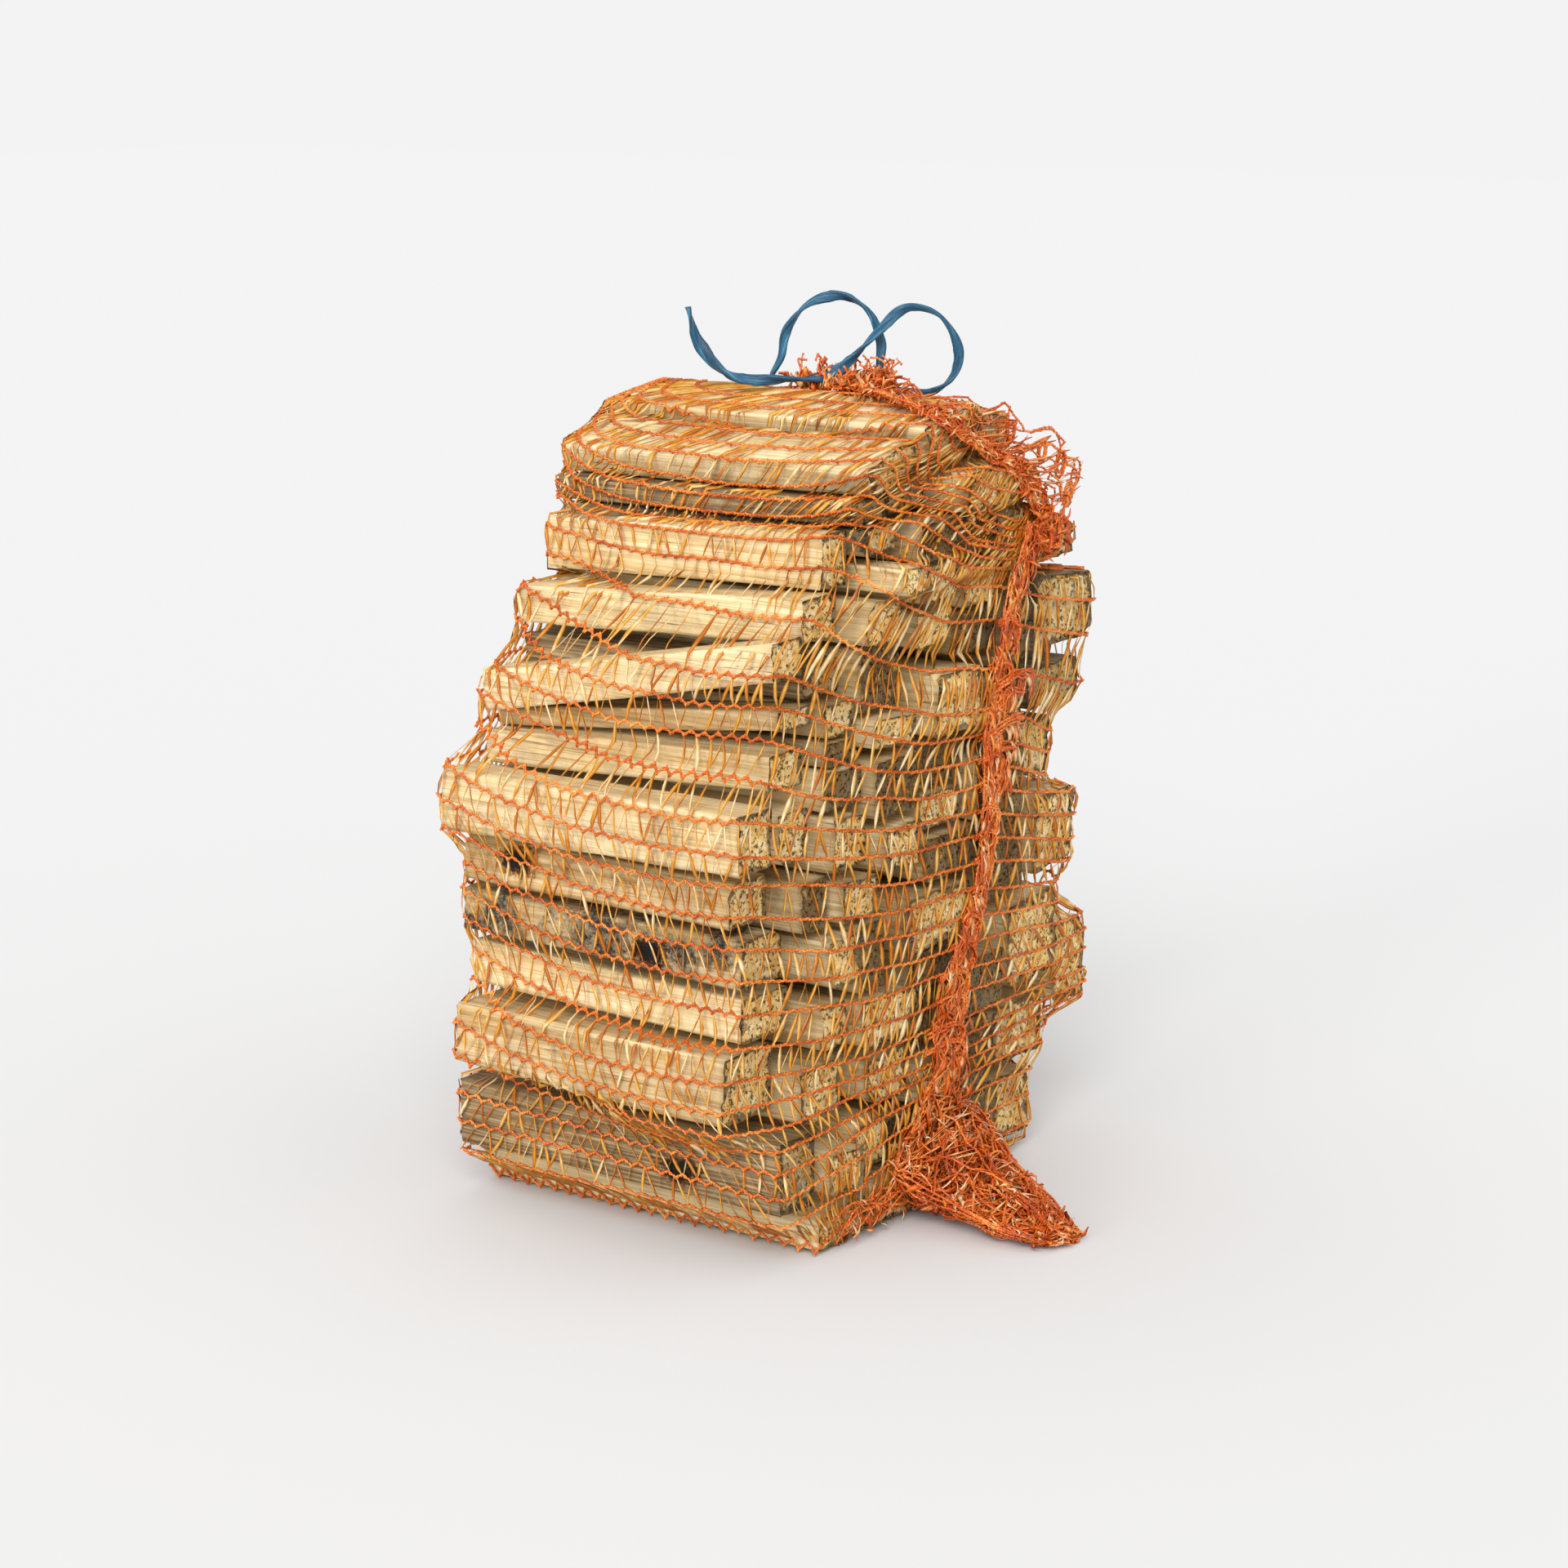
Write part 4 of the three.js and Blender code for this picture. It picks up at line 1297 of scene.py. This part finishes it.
# height, length and rise of each fold, in millimetres
FOLDS = [(330, 42, 2), (319, 30, 5), (303, 34, 2), (288, 26, -1), (272, 22, 0)]
HOOK_STRANDS, FOLD_STRANDS, FOLD_FILM = 5, 8, 14


def seam_at(height):
    """The middle and half width of the seam at a height."""
    middle, half = (np.interp(-height, -SEAM[:, 0], SEAM[:, i]) for i in (1, 2))
    return np.array([SEAM_FACE, middle, height]), half


def add_bundle(path, strands, spread, thick):
    """Strands that follow a path side by side and wander a little."""
    path = eased(resampled(path, STITCH), 1)
    for strand in range(strands):
        seed = RANDOM.uniform(0, 500)
        shift = RANDOM.normal(0, 0.6, 3) * spread
        line = path + shift + wander(len(path), spread, 2.5, seed)
        add_strand(line, (1, 0, 0), RANDOM.uniform(0.8, 1.1) * thick)


for row in range(BOTTOM_ROWS, row_count - DOME_ROWS + 2):
    height = all_rows[row][0][0][2]
    if 100 * MM < height < 425 * MM:
        base, half = seam_at(height)
        size = np.array([MM, half, MM])
        add_bundle(base + np.array(HOOK) * size, HOOK_STRANDS, 1.4 * MM, 0.9)
for height, length, rise in FOLDS:
    base, half = seam_at(height * MM)
    fold = np.array([(0, -9, -5), (3, 0, 0), (4, 0.5 * length, rise + 3), (2, length, rise)]) * MM
    add_bundle(base + fold, FOLD_STRANDS, 1.9 * MM, 0.85)
    for piece in range(FOLD_FILM):
        middle = base + np.array([3, RANDOM.uniform(0, length), rise - RANDOM.uniform(0, 12)]) * MM
        reach = np.array([0, RANDOM.normal(0, 3), RANDOM.uniform(4, 8)]) * MM
        add_scrap(middle, reach, [1, 0, 0], (0.8, 1.5))
print("strands so far:", len(strand_runs), "ribbons:", len(ribbon_parts))

# %% [markdown]
# The tail is what is left of the tube under the bag, gathered and thrown to one side. It is a
# crumpled heap of net. A few wavy layers of it lie through each other, each with its own rows
# running out to the tip and tapes zigzagging between them, and curls of yarn fill the gaps.

# %% The tail
# along the tail: x, y, z of its middle, then half its width and half its height, in millimetres
TAIL = np.array([
    (132, 20, 34, 58, 32), (141, 18, 32, 58, 29), (158, 13, 25, 50, 23), (180, 8, 18, 40, 16),
    (208, 1, 12, 34, 11), (232, -4, 7, 24, 6), (250, -2, 4, 10, 2.5),
]) * MM
TAIL_LAYERS = 8
LAYER_ROWS = 8
LAYER_STEPS = 25
TAIL_CURLS = 130
TAIL_FILM = 420
FAN_STRANDS, FAN_FILM = 8, 50


def in_tail(share, across, height):
    """A point in the tail. share runs from root to tip, across and height from -1 to 1."""
    at = np.clip(share, 0, 1) * (len(TAIL) - 1)
    row = np.stack([np.interp(at, np.arange(len(TAIL)), TAIL[:, i]) for i in range(5)], axis=-1)
    across, height = np.clip(across, -1, 1), np.clip(height, -1, 1)
    squeeze = np.sqrt(np.clip(1 - across ** 2, 0.05, 1))
    side = np.stack([row[..., 0] * 0, across * row[..., 3], height * squeeze * row[..., 4]], axis=-1)
    return row[..., :3] + side


for layer in range(TAIL_LAYERS):
    reach = RANDOM.uniform(0.8, 1.0)
    share, across = np.meshgrid(np.linspace(0, reach, LAYER_STEPS), np.linspace(-0.95, 0.95, LAYER_ROWS))
    place = np.stack([share * 7, across * 3, share * 0 + layer * 9], axis=-1)
    height = np.linspace(-1, 1, TAIL_LAYERS)[layer] + 1.1 * lattice_noise(place, 61)
    slide = across + 0.55 * lattice_noise(place + 40, 62) + 0.15 * lattice_noise(place * 3, 63)
    net = in_tail(share + 0.05 * lattice_noise(place * 1.7, 64), slide, height)
    for i in range(LAYER_ROWS):
        add_strand(eased(net[i], 1), (0.3, 0.1, 1), RANDOM.uniform(0.6, 0.85))
    for i in range(LAYER_ROWS - 1):
        for j in range(LAYER_STEPS):
            k = min(max(j + (1 if j % 2 else -1), 0), LAYER_STEPS - 1)
            bend = RANDOM.normal(0, 1.5, 3) * MM
            add_ribbon(net[i, j], net[i + 1, k], bend, RANDOM.uniform(0.4, 1.1), RANDOM.random())
for curl in range(TAIL_CURLS):
    turn = np.linspace(0, RANDOM.uniform(2, 5), 7) + RANDOM.uniform(0, 6)
    size = RANDOM.uniform(0.1, 0.3)
    left, low = RANDOM.uniform(-0.8, 0.8, 2)
    share = RANDOM.uniform(0.05, 0.9) + np.linspace(-0.06, 0.06, 7)
    points = in_tail(share, left + size * np.cos(turn), low + 1.8 * size * np.sin(turn))
    add_strand(resampled(points, 4.5 * MM), (0.3, 0.1, 1), RANDOM.uniform(0.55, 0.8))
for piece in range(TAIL_FILM):
    spot = in_tail(RANDOM.uniform(0.02, 0.97), RANDOM.uniform(-1, 1), RANDOM.uniform(-1, 1))
    way = unit(np.array([1.0, RANDOM.normal(0, 0.8), RANDOM.normal(0, 0.4)])) * RANDOM.uniform(3, 8) * MM
    add_scrap(spot, way, RANDOM.normal(0, 2, 3), (0.7, 1.8))

# under the cut ends the bottom rows fan in to the root of the tail, crossing as they go
for strand in range(FAN_STRANDS):
    start = np.array([136, RANDOM.uniform(-104, -72), RANDOM.uniform(3, 26)])
    middle = np.array([139, RANDOM.uniform(-80, -50), RANDOM.uniform(3, 34)])
    finish = np.array([141, RANDOM.uniform(-36, -10), RANDOM.uniform(6, 56)])
    points = eased(resampled(np.array([start, middle, finish]) * MM, STITCH), 3)
    points += wander(len(points), 2.2 * MM, 3.5, strand * 2.3 + 60)
    add_strand(points, (1, 0, 0.2), RANDOM.uniform(0.7, 0.95))
for piece in range(FAN_FILM):
    share = RANDOM.uniform(0.2, 1)
    spot = np.array([139, -100 + 75 * share, RANDOM.uniform(3, 16 + 36 * share)]) * MM
    way = unit(np.array([0.1, RANDOM.normal(0, 0.7), 0.9])) * RANDOM.uniform(4, 9) * MM
    add_scrap(spot, way, [1.5, 0, 0], (0.4, 1.0))
print("strands so far:", len(strand_runs), "ribbons:", len(ribbon_parts))

# %% [markdown]
# At the top of the seam the cords meet in a knot. From there a band of bunched net runs up to
# the mouth: dense along its lower edge, loose and holed along its upper one. At the mouth
# itself the net is gathered by the tie, and its edge stands up as a frill.

# %% The knot at the top of the seam
KNOT = np.array([138, 137, 424]) * MM
KNOT_LOOPS, KNOT_FILM = 34, 110
below_knot = len(strand_runs)
for loop in range(KNOT_LOOPS):
    turn = np.linspace(0, RANDOM.uniform(3, 7), 11) + RANDOM.uniform(0, 6)
    tilt, size = RANDOM.uniform(-1, 1), RANDOM.uniform(0.45, 1.0)
    ring = np.stack([2.5 + 5 * np.sin(turn) * tilt, 16 * np.cos(turn), 12 * np.sin(turn)], axis=1)
    add_strand(resampled(KNOT + ring * size * MM, STITCH), (1, 0, 0), RANDOM.uniform(0.7, 1.0))
for piece in range(KNOT_FILM):
    spot = KNOT + RANDOM.normal(0, 1, 3) * np.array([2.5, 11, 9]) * MM
    way = unit(RANDOM.normal(0, 1, 3) * np.array([0.3, 1, 0.8])) * RANDOM.uniform(4, 9) * MM
    add_scrap(spot, way, [3, 0, 0], (0.8, 1.8), (0, 0.6))
print("knot at", np.round(KNOT, 3))

# %% The band from the knot to the mouth
# its lower and upper edge, from the mouth to the knot, in millimetres
BAND_LOW = np.array([
    (24, 84, 515), (60, 56, 516), (96, 32, 514), (124, 30, 503), (131, 56, 487), (134, 84, 470),
    (136, 112, 452), (138, 130, 432),
]) * MM
BAND_HIGH = np.array([
    (20, 97, 530), (50, 96, 520), (84, 97, 515), (114, 102, 505), (133, 120, 492), (136, 158, 476),
    (137, 192, 456), (139, 158, 434),
]) * MM
BAND_STEPS = 46
BAND_FRAY = 5 * MM

share = np.linspace(0, 1, BAND_STEPS)


def spread_out(corners):
    at = np.linspace(0, 1, len(corners))
    return eased(np.stack([np.interp(share, at, corners[:, i]) for i in range(3)], axis=1), 2)


low_edge, high_edge = spread_out(BAND_LOW), spread_out(BAND_HIGH)
frayed = line_noise(share * 17, 33)
high_edge = high_edge + BAND_FRAY * np.stack([frayed * 0.2, frayed * 0.3, frayed], axis=1)


def on_band(place, height):
    """A point of the band: place from mouth to knot, height from lower to upper edge."""
    height = np.asarray(height)[..., None]
    low, high = low_edge[place], high_edge[place]
    sag = np.array([-2, 0, -7]) * MM * np.sin(np.pi * height)
    return clear_of_wood(low * (1 - height) + high * height + sag, np.array([0.5, 0.0, 0.85]), 1.5 * MM)


every = np.arange(BAND_STEPS)
for level in [*np.linspace(0, 0.34, 15), 0.45, 0.55, 0.66, 0.8, 0.97, 1.0]:
    sway = wander(BAND_STEPS, 1.0, 2.4, level * 70 + 5)
    strand = on_band(every, np.clip(level + 0.16 * sway[:, 0], 0, 1.05)) + sway * 1.5 * MM
    first, last = int(RANDOM.integers(0, 8)), BAND_STEPS - int(RANDOM.integers(0, 8))
    add_strand(strand[first:last], (0.6, 0.2, 0.6), RANDOM.uniform(0.65, 1.0))
for place in range(BAND_STEPS - 1):
    for _ in range(9):
        level = RANDOM.uniform(0, 0.4)
        spot = on_band(place, level)
        way = unit(RANDOM.normal(0, 1, 3)) * RANDOM.uniform(3, 7) * MM
        add_scrap(spot, way, [1, 0, 1], (0.6, 1.4), (0, 0.9))
    for _ in range(3):
        level = RANDOM.uniform(0.2, 0.8)
        top = on_band(min(BAND_STEPS - 1, place + int(RANDOM.integers(0, 3))), min(1, level + 0.35))
        bend = RANDOM.normal(0, 1.5, 3) * MM
        add_ribbon(on_band(place, level), top, bend, RANDOM.uniform(0.4, 1.1), RANDOM.uniform(0.2, 1))
for tuft in (0.42, 0.56, 0.68, 0.78, 0.87):
    middle = on_band(int(tuft * BAND_STEPS), 0.8)
    for _ in range(9):
        turn = np.linspace(0, 4, 7) + RANDOM.uniform(0, 6)
        ring = np.stack([3 * np.cos(turn), 4 * np.sin(turn), 9 * np.cos(turn + 0.6)], axis=1)
        ring = middle + ring * RANDOM.uniform(0.5, 1.1) * MM
        add_strand(ring, (0.6, 0.4, 0.2), RANDOM.uniform(0.6, 0.85))
print("band:", BAND_STEPS, "steps")

# %% [markdown]
# The frill is crumpled film that stands up round the gather, with loose loops of cord in it.

# %% The frill at the mouth
GATHER = np.array([12, 90, 513]) * MM
FRILL_FILM, FRILL_LOOPS = 240, 44
for piece in range(FRILL_FILM):
    turn = RANDOM.uniform(0, 2 * np.pi)
    ring = np.array([math.cos(turn) * 2.4, math.sin(turn), 0])
    start = GATHER + ring * RANDOM.uniform(4, 15) * MM
    lift = RANDOM.uniform(3, 15) * (0.6 + 0.4 * math.cos(3 * turn))
    finish = start + (ring * RANDOM.uniform(0, 5) + np.array([0, 0, lift])) * MM
    bend = RANDOM.normal(0, 3, 3) * MM
    add_ribbon(start, finish, bend, RANDOM.uniform(1.2, 2.8), RANDOM.uniform(0.2, 1))
for loop in range(FRILL_LOOPS):
    turn = RANDOM.uniform(0, 2 * np.pi)
    ring = np.array([math.cos(turn) * 2.4, math.sin(turn), 0])
    start = GATHER + ring * RANDOM.uniform(6, 16) * MM
    points = start + np.cumsum(RANDOM.normal(0, 3.2, (6, 3)) + np.array([0.5, 0, 1.0]), axis=0) * MM
    points[:, 2] = np.clip(points[:, 2], GATHER[2] - 2 * MM, GATHER[2] + 20 * MM)
    add_strand(points, (0, 0, 1), RANDOM.uniform(0.6, 0.9))
print("strands:", len(strand_runs), "ribbons:", len(ribbon_parts))

# %% [markdown]
# ** Bunched polyethylene, deep orange.** Layer on layer of the same film blocks the light, so
# bunched net is the fullest orange on the bag. Its darkest red-orange is painted shade for its folds, and
# its palest cream is a painted glint.

# %% Knit the strands and crumple the film
# the darkest stops below are painted shade for the folds, the palest film stop a painted glint
bunched_yarn = yarn_material("bunched_polyethylene_yarn", "#AE4006", "#DA5F10", "#F59A48", 0.36)
bunched_film = film_material(
    "crumpled_polyethylene_film", (0.32, "#C14C0A"), (0.46, "#E36C18"), (0.58, "#F2923E"),
    (0.68, "#FCD2A0"), see_through=0.1,
)
gathers = []
for name, runs in (
    ("net_seam_and_tail", strand_runs[:below_knot]), ("net_knot_and_mouth", strand_runs[below_knot:]),
):
    gathers.append(from_tree(name, stitch_source("strand_places", runs), rows_tree, bunched_yarn))
    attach(gathers[-1], "root")
points = np.array([part[0] for part in ribbon_parts])
outs = np.broadcast_to(RIBBON_OUT, points.shape)
width, roll, tone = (np.array([part[i] for part in ribbon_parts]) for i in (1, 2, 3))
source = tape_source("ribbon_lines", points, outs, width, roll, tone)
net_film = from_tree("net_film", source, strips_tree, bunched_film)
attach(net_film, "root")
print("gathers:", [len(p.data.polygons) for p in gathers], "film:", len(net_film.data.polygons), "faces")

# %% [markdown]
# Laid flat, the net is a tube as far round as its side rows are on average, and as long as
# the gaps between its rows together. The tapes carry its surface. Much of a net is holes, so the film
# covers only part of that flat size. Both sizes are those of the stretched net: how far it shrinks when it
# is off the wood isn't known.

side_levels = slice(BOTTOM_ROWS * SUBROWS, (BOTTOM_ROWS + SIDE_ROWS) * SUBROWS)
NET_FLAT = (round(float(lengths[side_levels].mean()), 3), round((row_count - 1) * ROW_PITCH, 3))
film_share = round(TAPE_AREA / (NET_FLAT[0] * NET_FLAT[1]), 3)
print("net declared:", NET_FLAT, "m flat, film", round(TAPE_AREA, 3), "square metres, share", film_share)

# %% [markdown]
# ## The tie
#
# The mouth is closed with a flat polypropylene tape, crumpled to about seven millimetres by
# four. It stands in two springy loops with one end knotted. The tape is swept by hand here: a
# section of fourteen points, folded in on itself, turns slowly as it travels, so the flat and
# the edge show in turn.

# %% Route of the tie
TIE_STEP = 2.2 * MM
# x, y and z in millimetres, from the knotted end over both loops to the end at the mouth
TIE_ROUTE = np.array([
    (-74, 35, 564), (-70, 38, 545), (-62, 43, 530), (-50, 49, 520), (-36, 56, 517), (-18, 64, 518),
    (-2, 75, 518.5), (8, 84, 522), (19, 91, 533), (34, 100, 551), (47, 110, 564), (62, 125, 559),
    (72, 133, 538), (68, 133, 519), (55, 127, 508.5), (42, 119, 508), (33, 112, 512), (28, 108, 523),
    (28, 108, 541), (22, 103, 561), (8, 93, 571), (-10, 81, 566), (-22, 73, 549), (-26, 72, 531),
    (-33, 71, 519),
]) * MM


def through(corners, pieces):
    """A smooth curve through the corners: a centripetal Catmull-Rom spline."""
    ends = np.vstack([2 * corners[0] - corners[1], corners, 2 * corners[-1] - corners[-2]])
    line = []
    for p0, p1, p2, p3 in zip(ends, ends[1:], ends[2:], ends[3:]):
        d1, d2, d3 = (np.linalg.norm(b - a) ** 0.5 for a, b in ((p0, p1), (p1, p2), (p2, p3)))
        lead = (p1 - p0) / d1 - (p2 - p0) / (d1 + d2) + (p2 - p1) / d2
        trail = (p2 - p1) / d2 - (p3 - p1) / (d2 + d3) + (p3 - p2) / d3
        t = np.linspace(0, 1, pieces, endpoint=False)[:, None]
        lead, trail = lead * d2, trail * d2
        square = 3 * (p2 - p1) - 2 * lead - trail
        cube = 2 * (p1 - p2) + lead + trail
        line.append(p1 + lead * t + square * t ** 2 + cube * t ** 3)
    return np.vstack(line + [corners[-1:]])


tie_line = resampled(through(TIE_ROUTE, 12), TIE_STEP)

# %% [markdown]
# A few places of the tape swell to knots. Everywhere else a slow noise pinches and folds the
# section, which gives the creases.

# %% Crumpled tape with a knot
TIE_SECTION = 14
TIE_FLAT = 4.3 * MM  # half the width of the folded tape, laid flat
TIE_THICK = 1.9 * MM  # half its thickness
TIE_TURNS = 9.0  # half turns of twist from end to end
KNOTS = [(0.085, 5, 1.7), (0.125, 4, 1.5), (0.262, 4, 1.6)]  # share of the length, stations, swelling


def crumpled_tape(line, seed):
    """Points and faces of a folded tape swept along a line."""
    count = len(line)
    ahead = np.gradient(line, axis=0)
    ahead /= np.linalg.norm(ahead, axis=1, keepdims=True)
    side = unit(np.cross(ahead[0], [0.0, 0.0, 1.0]))
    share = np.linspace(0, 1, count)
    turn = np.linspace(0, 2 * np.pi, TIE_SECTION, endpoint=False)
    points = []
    for i in range(count):
        side = unit(side - ahead[i] * (side @ ahead[i]))
        other = np.cross(ahead[i], side)
        twist = TIE_TURNS * np.pi * share[i] + 0.9 * lattice_noise([[i / 14, 0.3, 0.7]], seed)[0]
        around = np.stack([turn * 0 + i / 5, np.cos(turn) * 2.1, np.sin(turn) * 2.1], axis=-1)
        fold = lattice_noise(around, seed + 1)
        swell = 1 + sum(
            (size - 1) * math.exp(-(((share[i] - at) * count / wide) ** 2)) for at, wide, size in KNOTS
        )
        pinch = 0.86 + 0.16 * lattice_noise([[i / 9, 4.1, 0.2]], seed + 2)[0]
        flat = TIE_FLAT * pinch * np.cos(turn) * min(swell, 1.28)
        groove = 1 - 0.5 * np.exp(-((np.cos(turn) / 0.4) ** 2))
        high = TIE_THICK * np.sin(turn) * groove * (1 + 0.35 * fold) * swell
        crease = 1 - 0.22 * np.abs(fold)
        across = (flat * math.cos(twist) - high * math.sin(twist)) * crease
        up = (flat * math.sin(twist) + high * math.cos(twist)) * crease
        points.append(line[i] + side * across[:, None] + other * up[:, None])
    points = np.vstack(points + [line[:1], line[-1:]])
    faces = []
    for i in range(count - 1):
        for j in range(TIE_SECTION):
            k = (j + 1) % TIE_SECTION
            a, b = i * TIE_SECTION, (i + 1) * TIE_SECTION
            faces.append((a + j, a + k, b + k, b + j))
    for j in range(TIE_SECTION):
        k = (j + 1) % TIE_SECTION
        last = (count - 1) * TIE_SECTION
        faces.append((k, j, count * TIE_SECTION))
        faces.append((last + j, last + k, count * TIE_SECTION + 1))
    return points, faces


points, faces = crumpled_tape(tie_line, 51)
tie = mesh_object("crumpled_tie", points, faces)
run = np.repeat(np.arange(len(tie_line)) * TIE_STEP, TIE_SECTION)
round_tie = np.tile(np.linspace(0, 1, TIE_SECTION, endpoint=False), len(tie_line))
set_attribute(tie, "run", np.append(run, [0, run[-1]]))
set_attribute(tie, "round", np.append(round_tie, [0, 0]))
print("tie:", len(tie.data.polygons), "faces")

# %% [markdown]
# **Fibrillated polypropylene tape, petrol blue.** The tape is stretched until it splits into
# fibres, so it has fine creases along its length, a satin shine on them, and paler bruises
# where it was bent.

# %% Material of the tie
blue_tape, tree = new_material("fibrillated_polypropylene_tape")
run_at = add(tree, "ShaderNodeAttribute", {"attribute_name": "run"}).outputs["Fac"]
round_at = add(tree, "ShaderNodeAttribute", {"attribute_name": "round"}).outputs["Fac"]
spin = number(tree, "MULTIPLY", round_at, 2 * math.pi)
place = add(
    tree, "ShaderNodeCombineXYZ", X=number(tree, "MULTIPLY", run_at, 45.0),
    Y=number(tree, "MULTIPLY", number(tree, "COSINE", spin), 3.2),
    Z=number(tree, "MULTIPLY", number(tree, "SINE", spin), 3.2),
).outputs[0]
crease = noise(tree, place, 0.62, 4.0, 0.65)
bruise = noise(tree, place, 2.9, 3.0)
mixed = number(tree, "ADD", number(tree, "MULTIPLY", crease, 0.65), number(tree, "MULTIPLY", bruise, 0.35))
colour = ramp(tree, mixed, (0.37, "#08283E"), (0.48, "#154A69"), (0.59, "#27708F"), (0.70, "#7DB9D0"))
bump = add(tree, "ShaderNodeBump", Height=crease, Strength=0.8, Distance=0.6 * MM)
shader = add(
    tree, "ShaderNodeBsdfPrincipled", Base_Color=colour, Roughness=0.34, Normal=bump.outputs[0], IOR=1.49,
)
add(tree, "ShaderNodeOutputMaterial", Surface=shader.outputs[0])
tie.data.materials.append(blue_tape)
print("material:", blue_tape.name)

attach(tie, "root")
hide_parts("drawstring")

# %% [markdown]
# ## The studio
#
# The bundle stands on a plain pale floor under a white sky. One soft sun from the front makes
# the split faces the brightest and leaves the cut ends a step darker. The floor's shade is
# chosen so that, lit by both, it matches the sky, and the horizon disappears.

# %% Floor, lights and camera
FLOOR_HALF = 14.0
BACKDROP = 0.896
corners = [(-FLOOR_HALF, -FLOOR_HALF, 0), (FLOOR_HALF, -FLOOR_HALF, 0), (FLOOR_HALF, FLOOR_HALF, 0)]
floor = mesh_object("floor", corners + [(-FLOOR_HALF, FLOOR_HALF, 0)], [(0, 1, 2, 3)])
floor_paint, tree = new_material("pale_matt_floor")
shader = add(tree, "ShaderNodeBsdfPrincipled", Base_Color=linear("#D9D9D9"), Roughness=1.0)
shader.inputs["Specular IOR Level"].default_value = 0.0
add(tree, "ShaderNodeOutputMaterial", Surface=shader.outputs[0])
floor.data.materials.append(floor_paint)

world = bpy.data.worlds.new("studio")
bpy.context.scene.world = world
world.use_nodes = True
world.node_tree.nodes["Background"].inputs["Color"].default_value = (1, 1, 1, 1)
world.node_tree.nodes["Background"].inputs["Strength"].default_value = BACKDROP


def soft_sun(name, turn, height, strength, spread):
    """A sun turned from -Y towards +X and raised above the floor, all in degrees."""
    data = bpy.data.lights.new(name, "SUN")
    data.energy = strength
    data.angle = math.radians(spread)
    new_object(name, data).rotation_euler = (math.radians(90 - height), 0, math.radians(turn))


soft_sun("key", 32, 36, 1.85, 34)
soft_sun("low_front", -4, 10, 1.0, 20)

LENS_MM = 77.6
CAMERA_PITCH = 12.7
CAMERA_TURN = 35.0
camera_data = bpy.data.cameras.new("camera")
camera_data.lens = LENS_MM
camera_data.sensor_width = 36
camera = new_object("camera", camera_data)
camera.location = (1.2447, -1.7393, 0.7443)
camera.rotation_euler = (math.radians(90 - CAMERA_PITCH), 0, math.radians(CAMERA_TURN))
bpy.context.scene.camera = camera
bpy.context.scene.view_settings.view_transform = "Standard"
print("camera", round(camera.location.length, 3), "m from the origin")
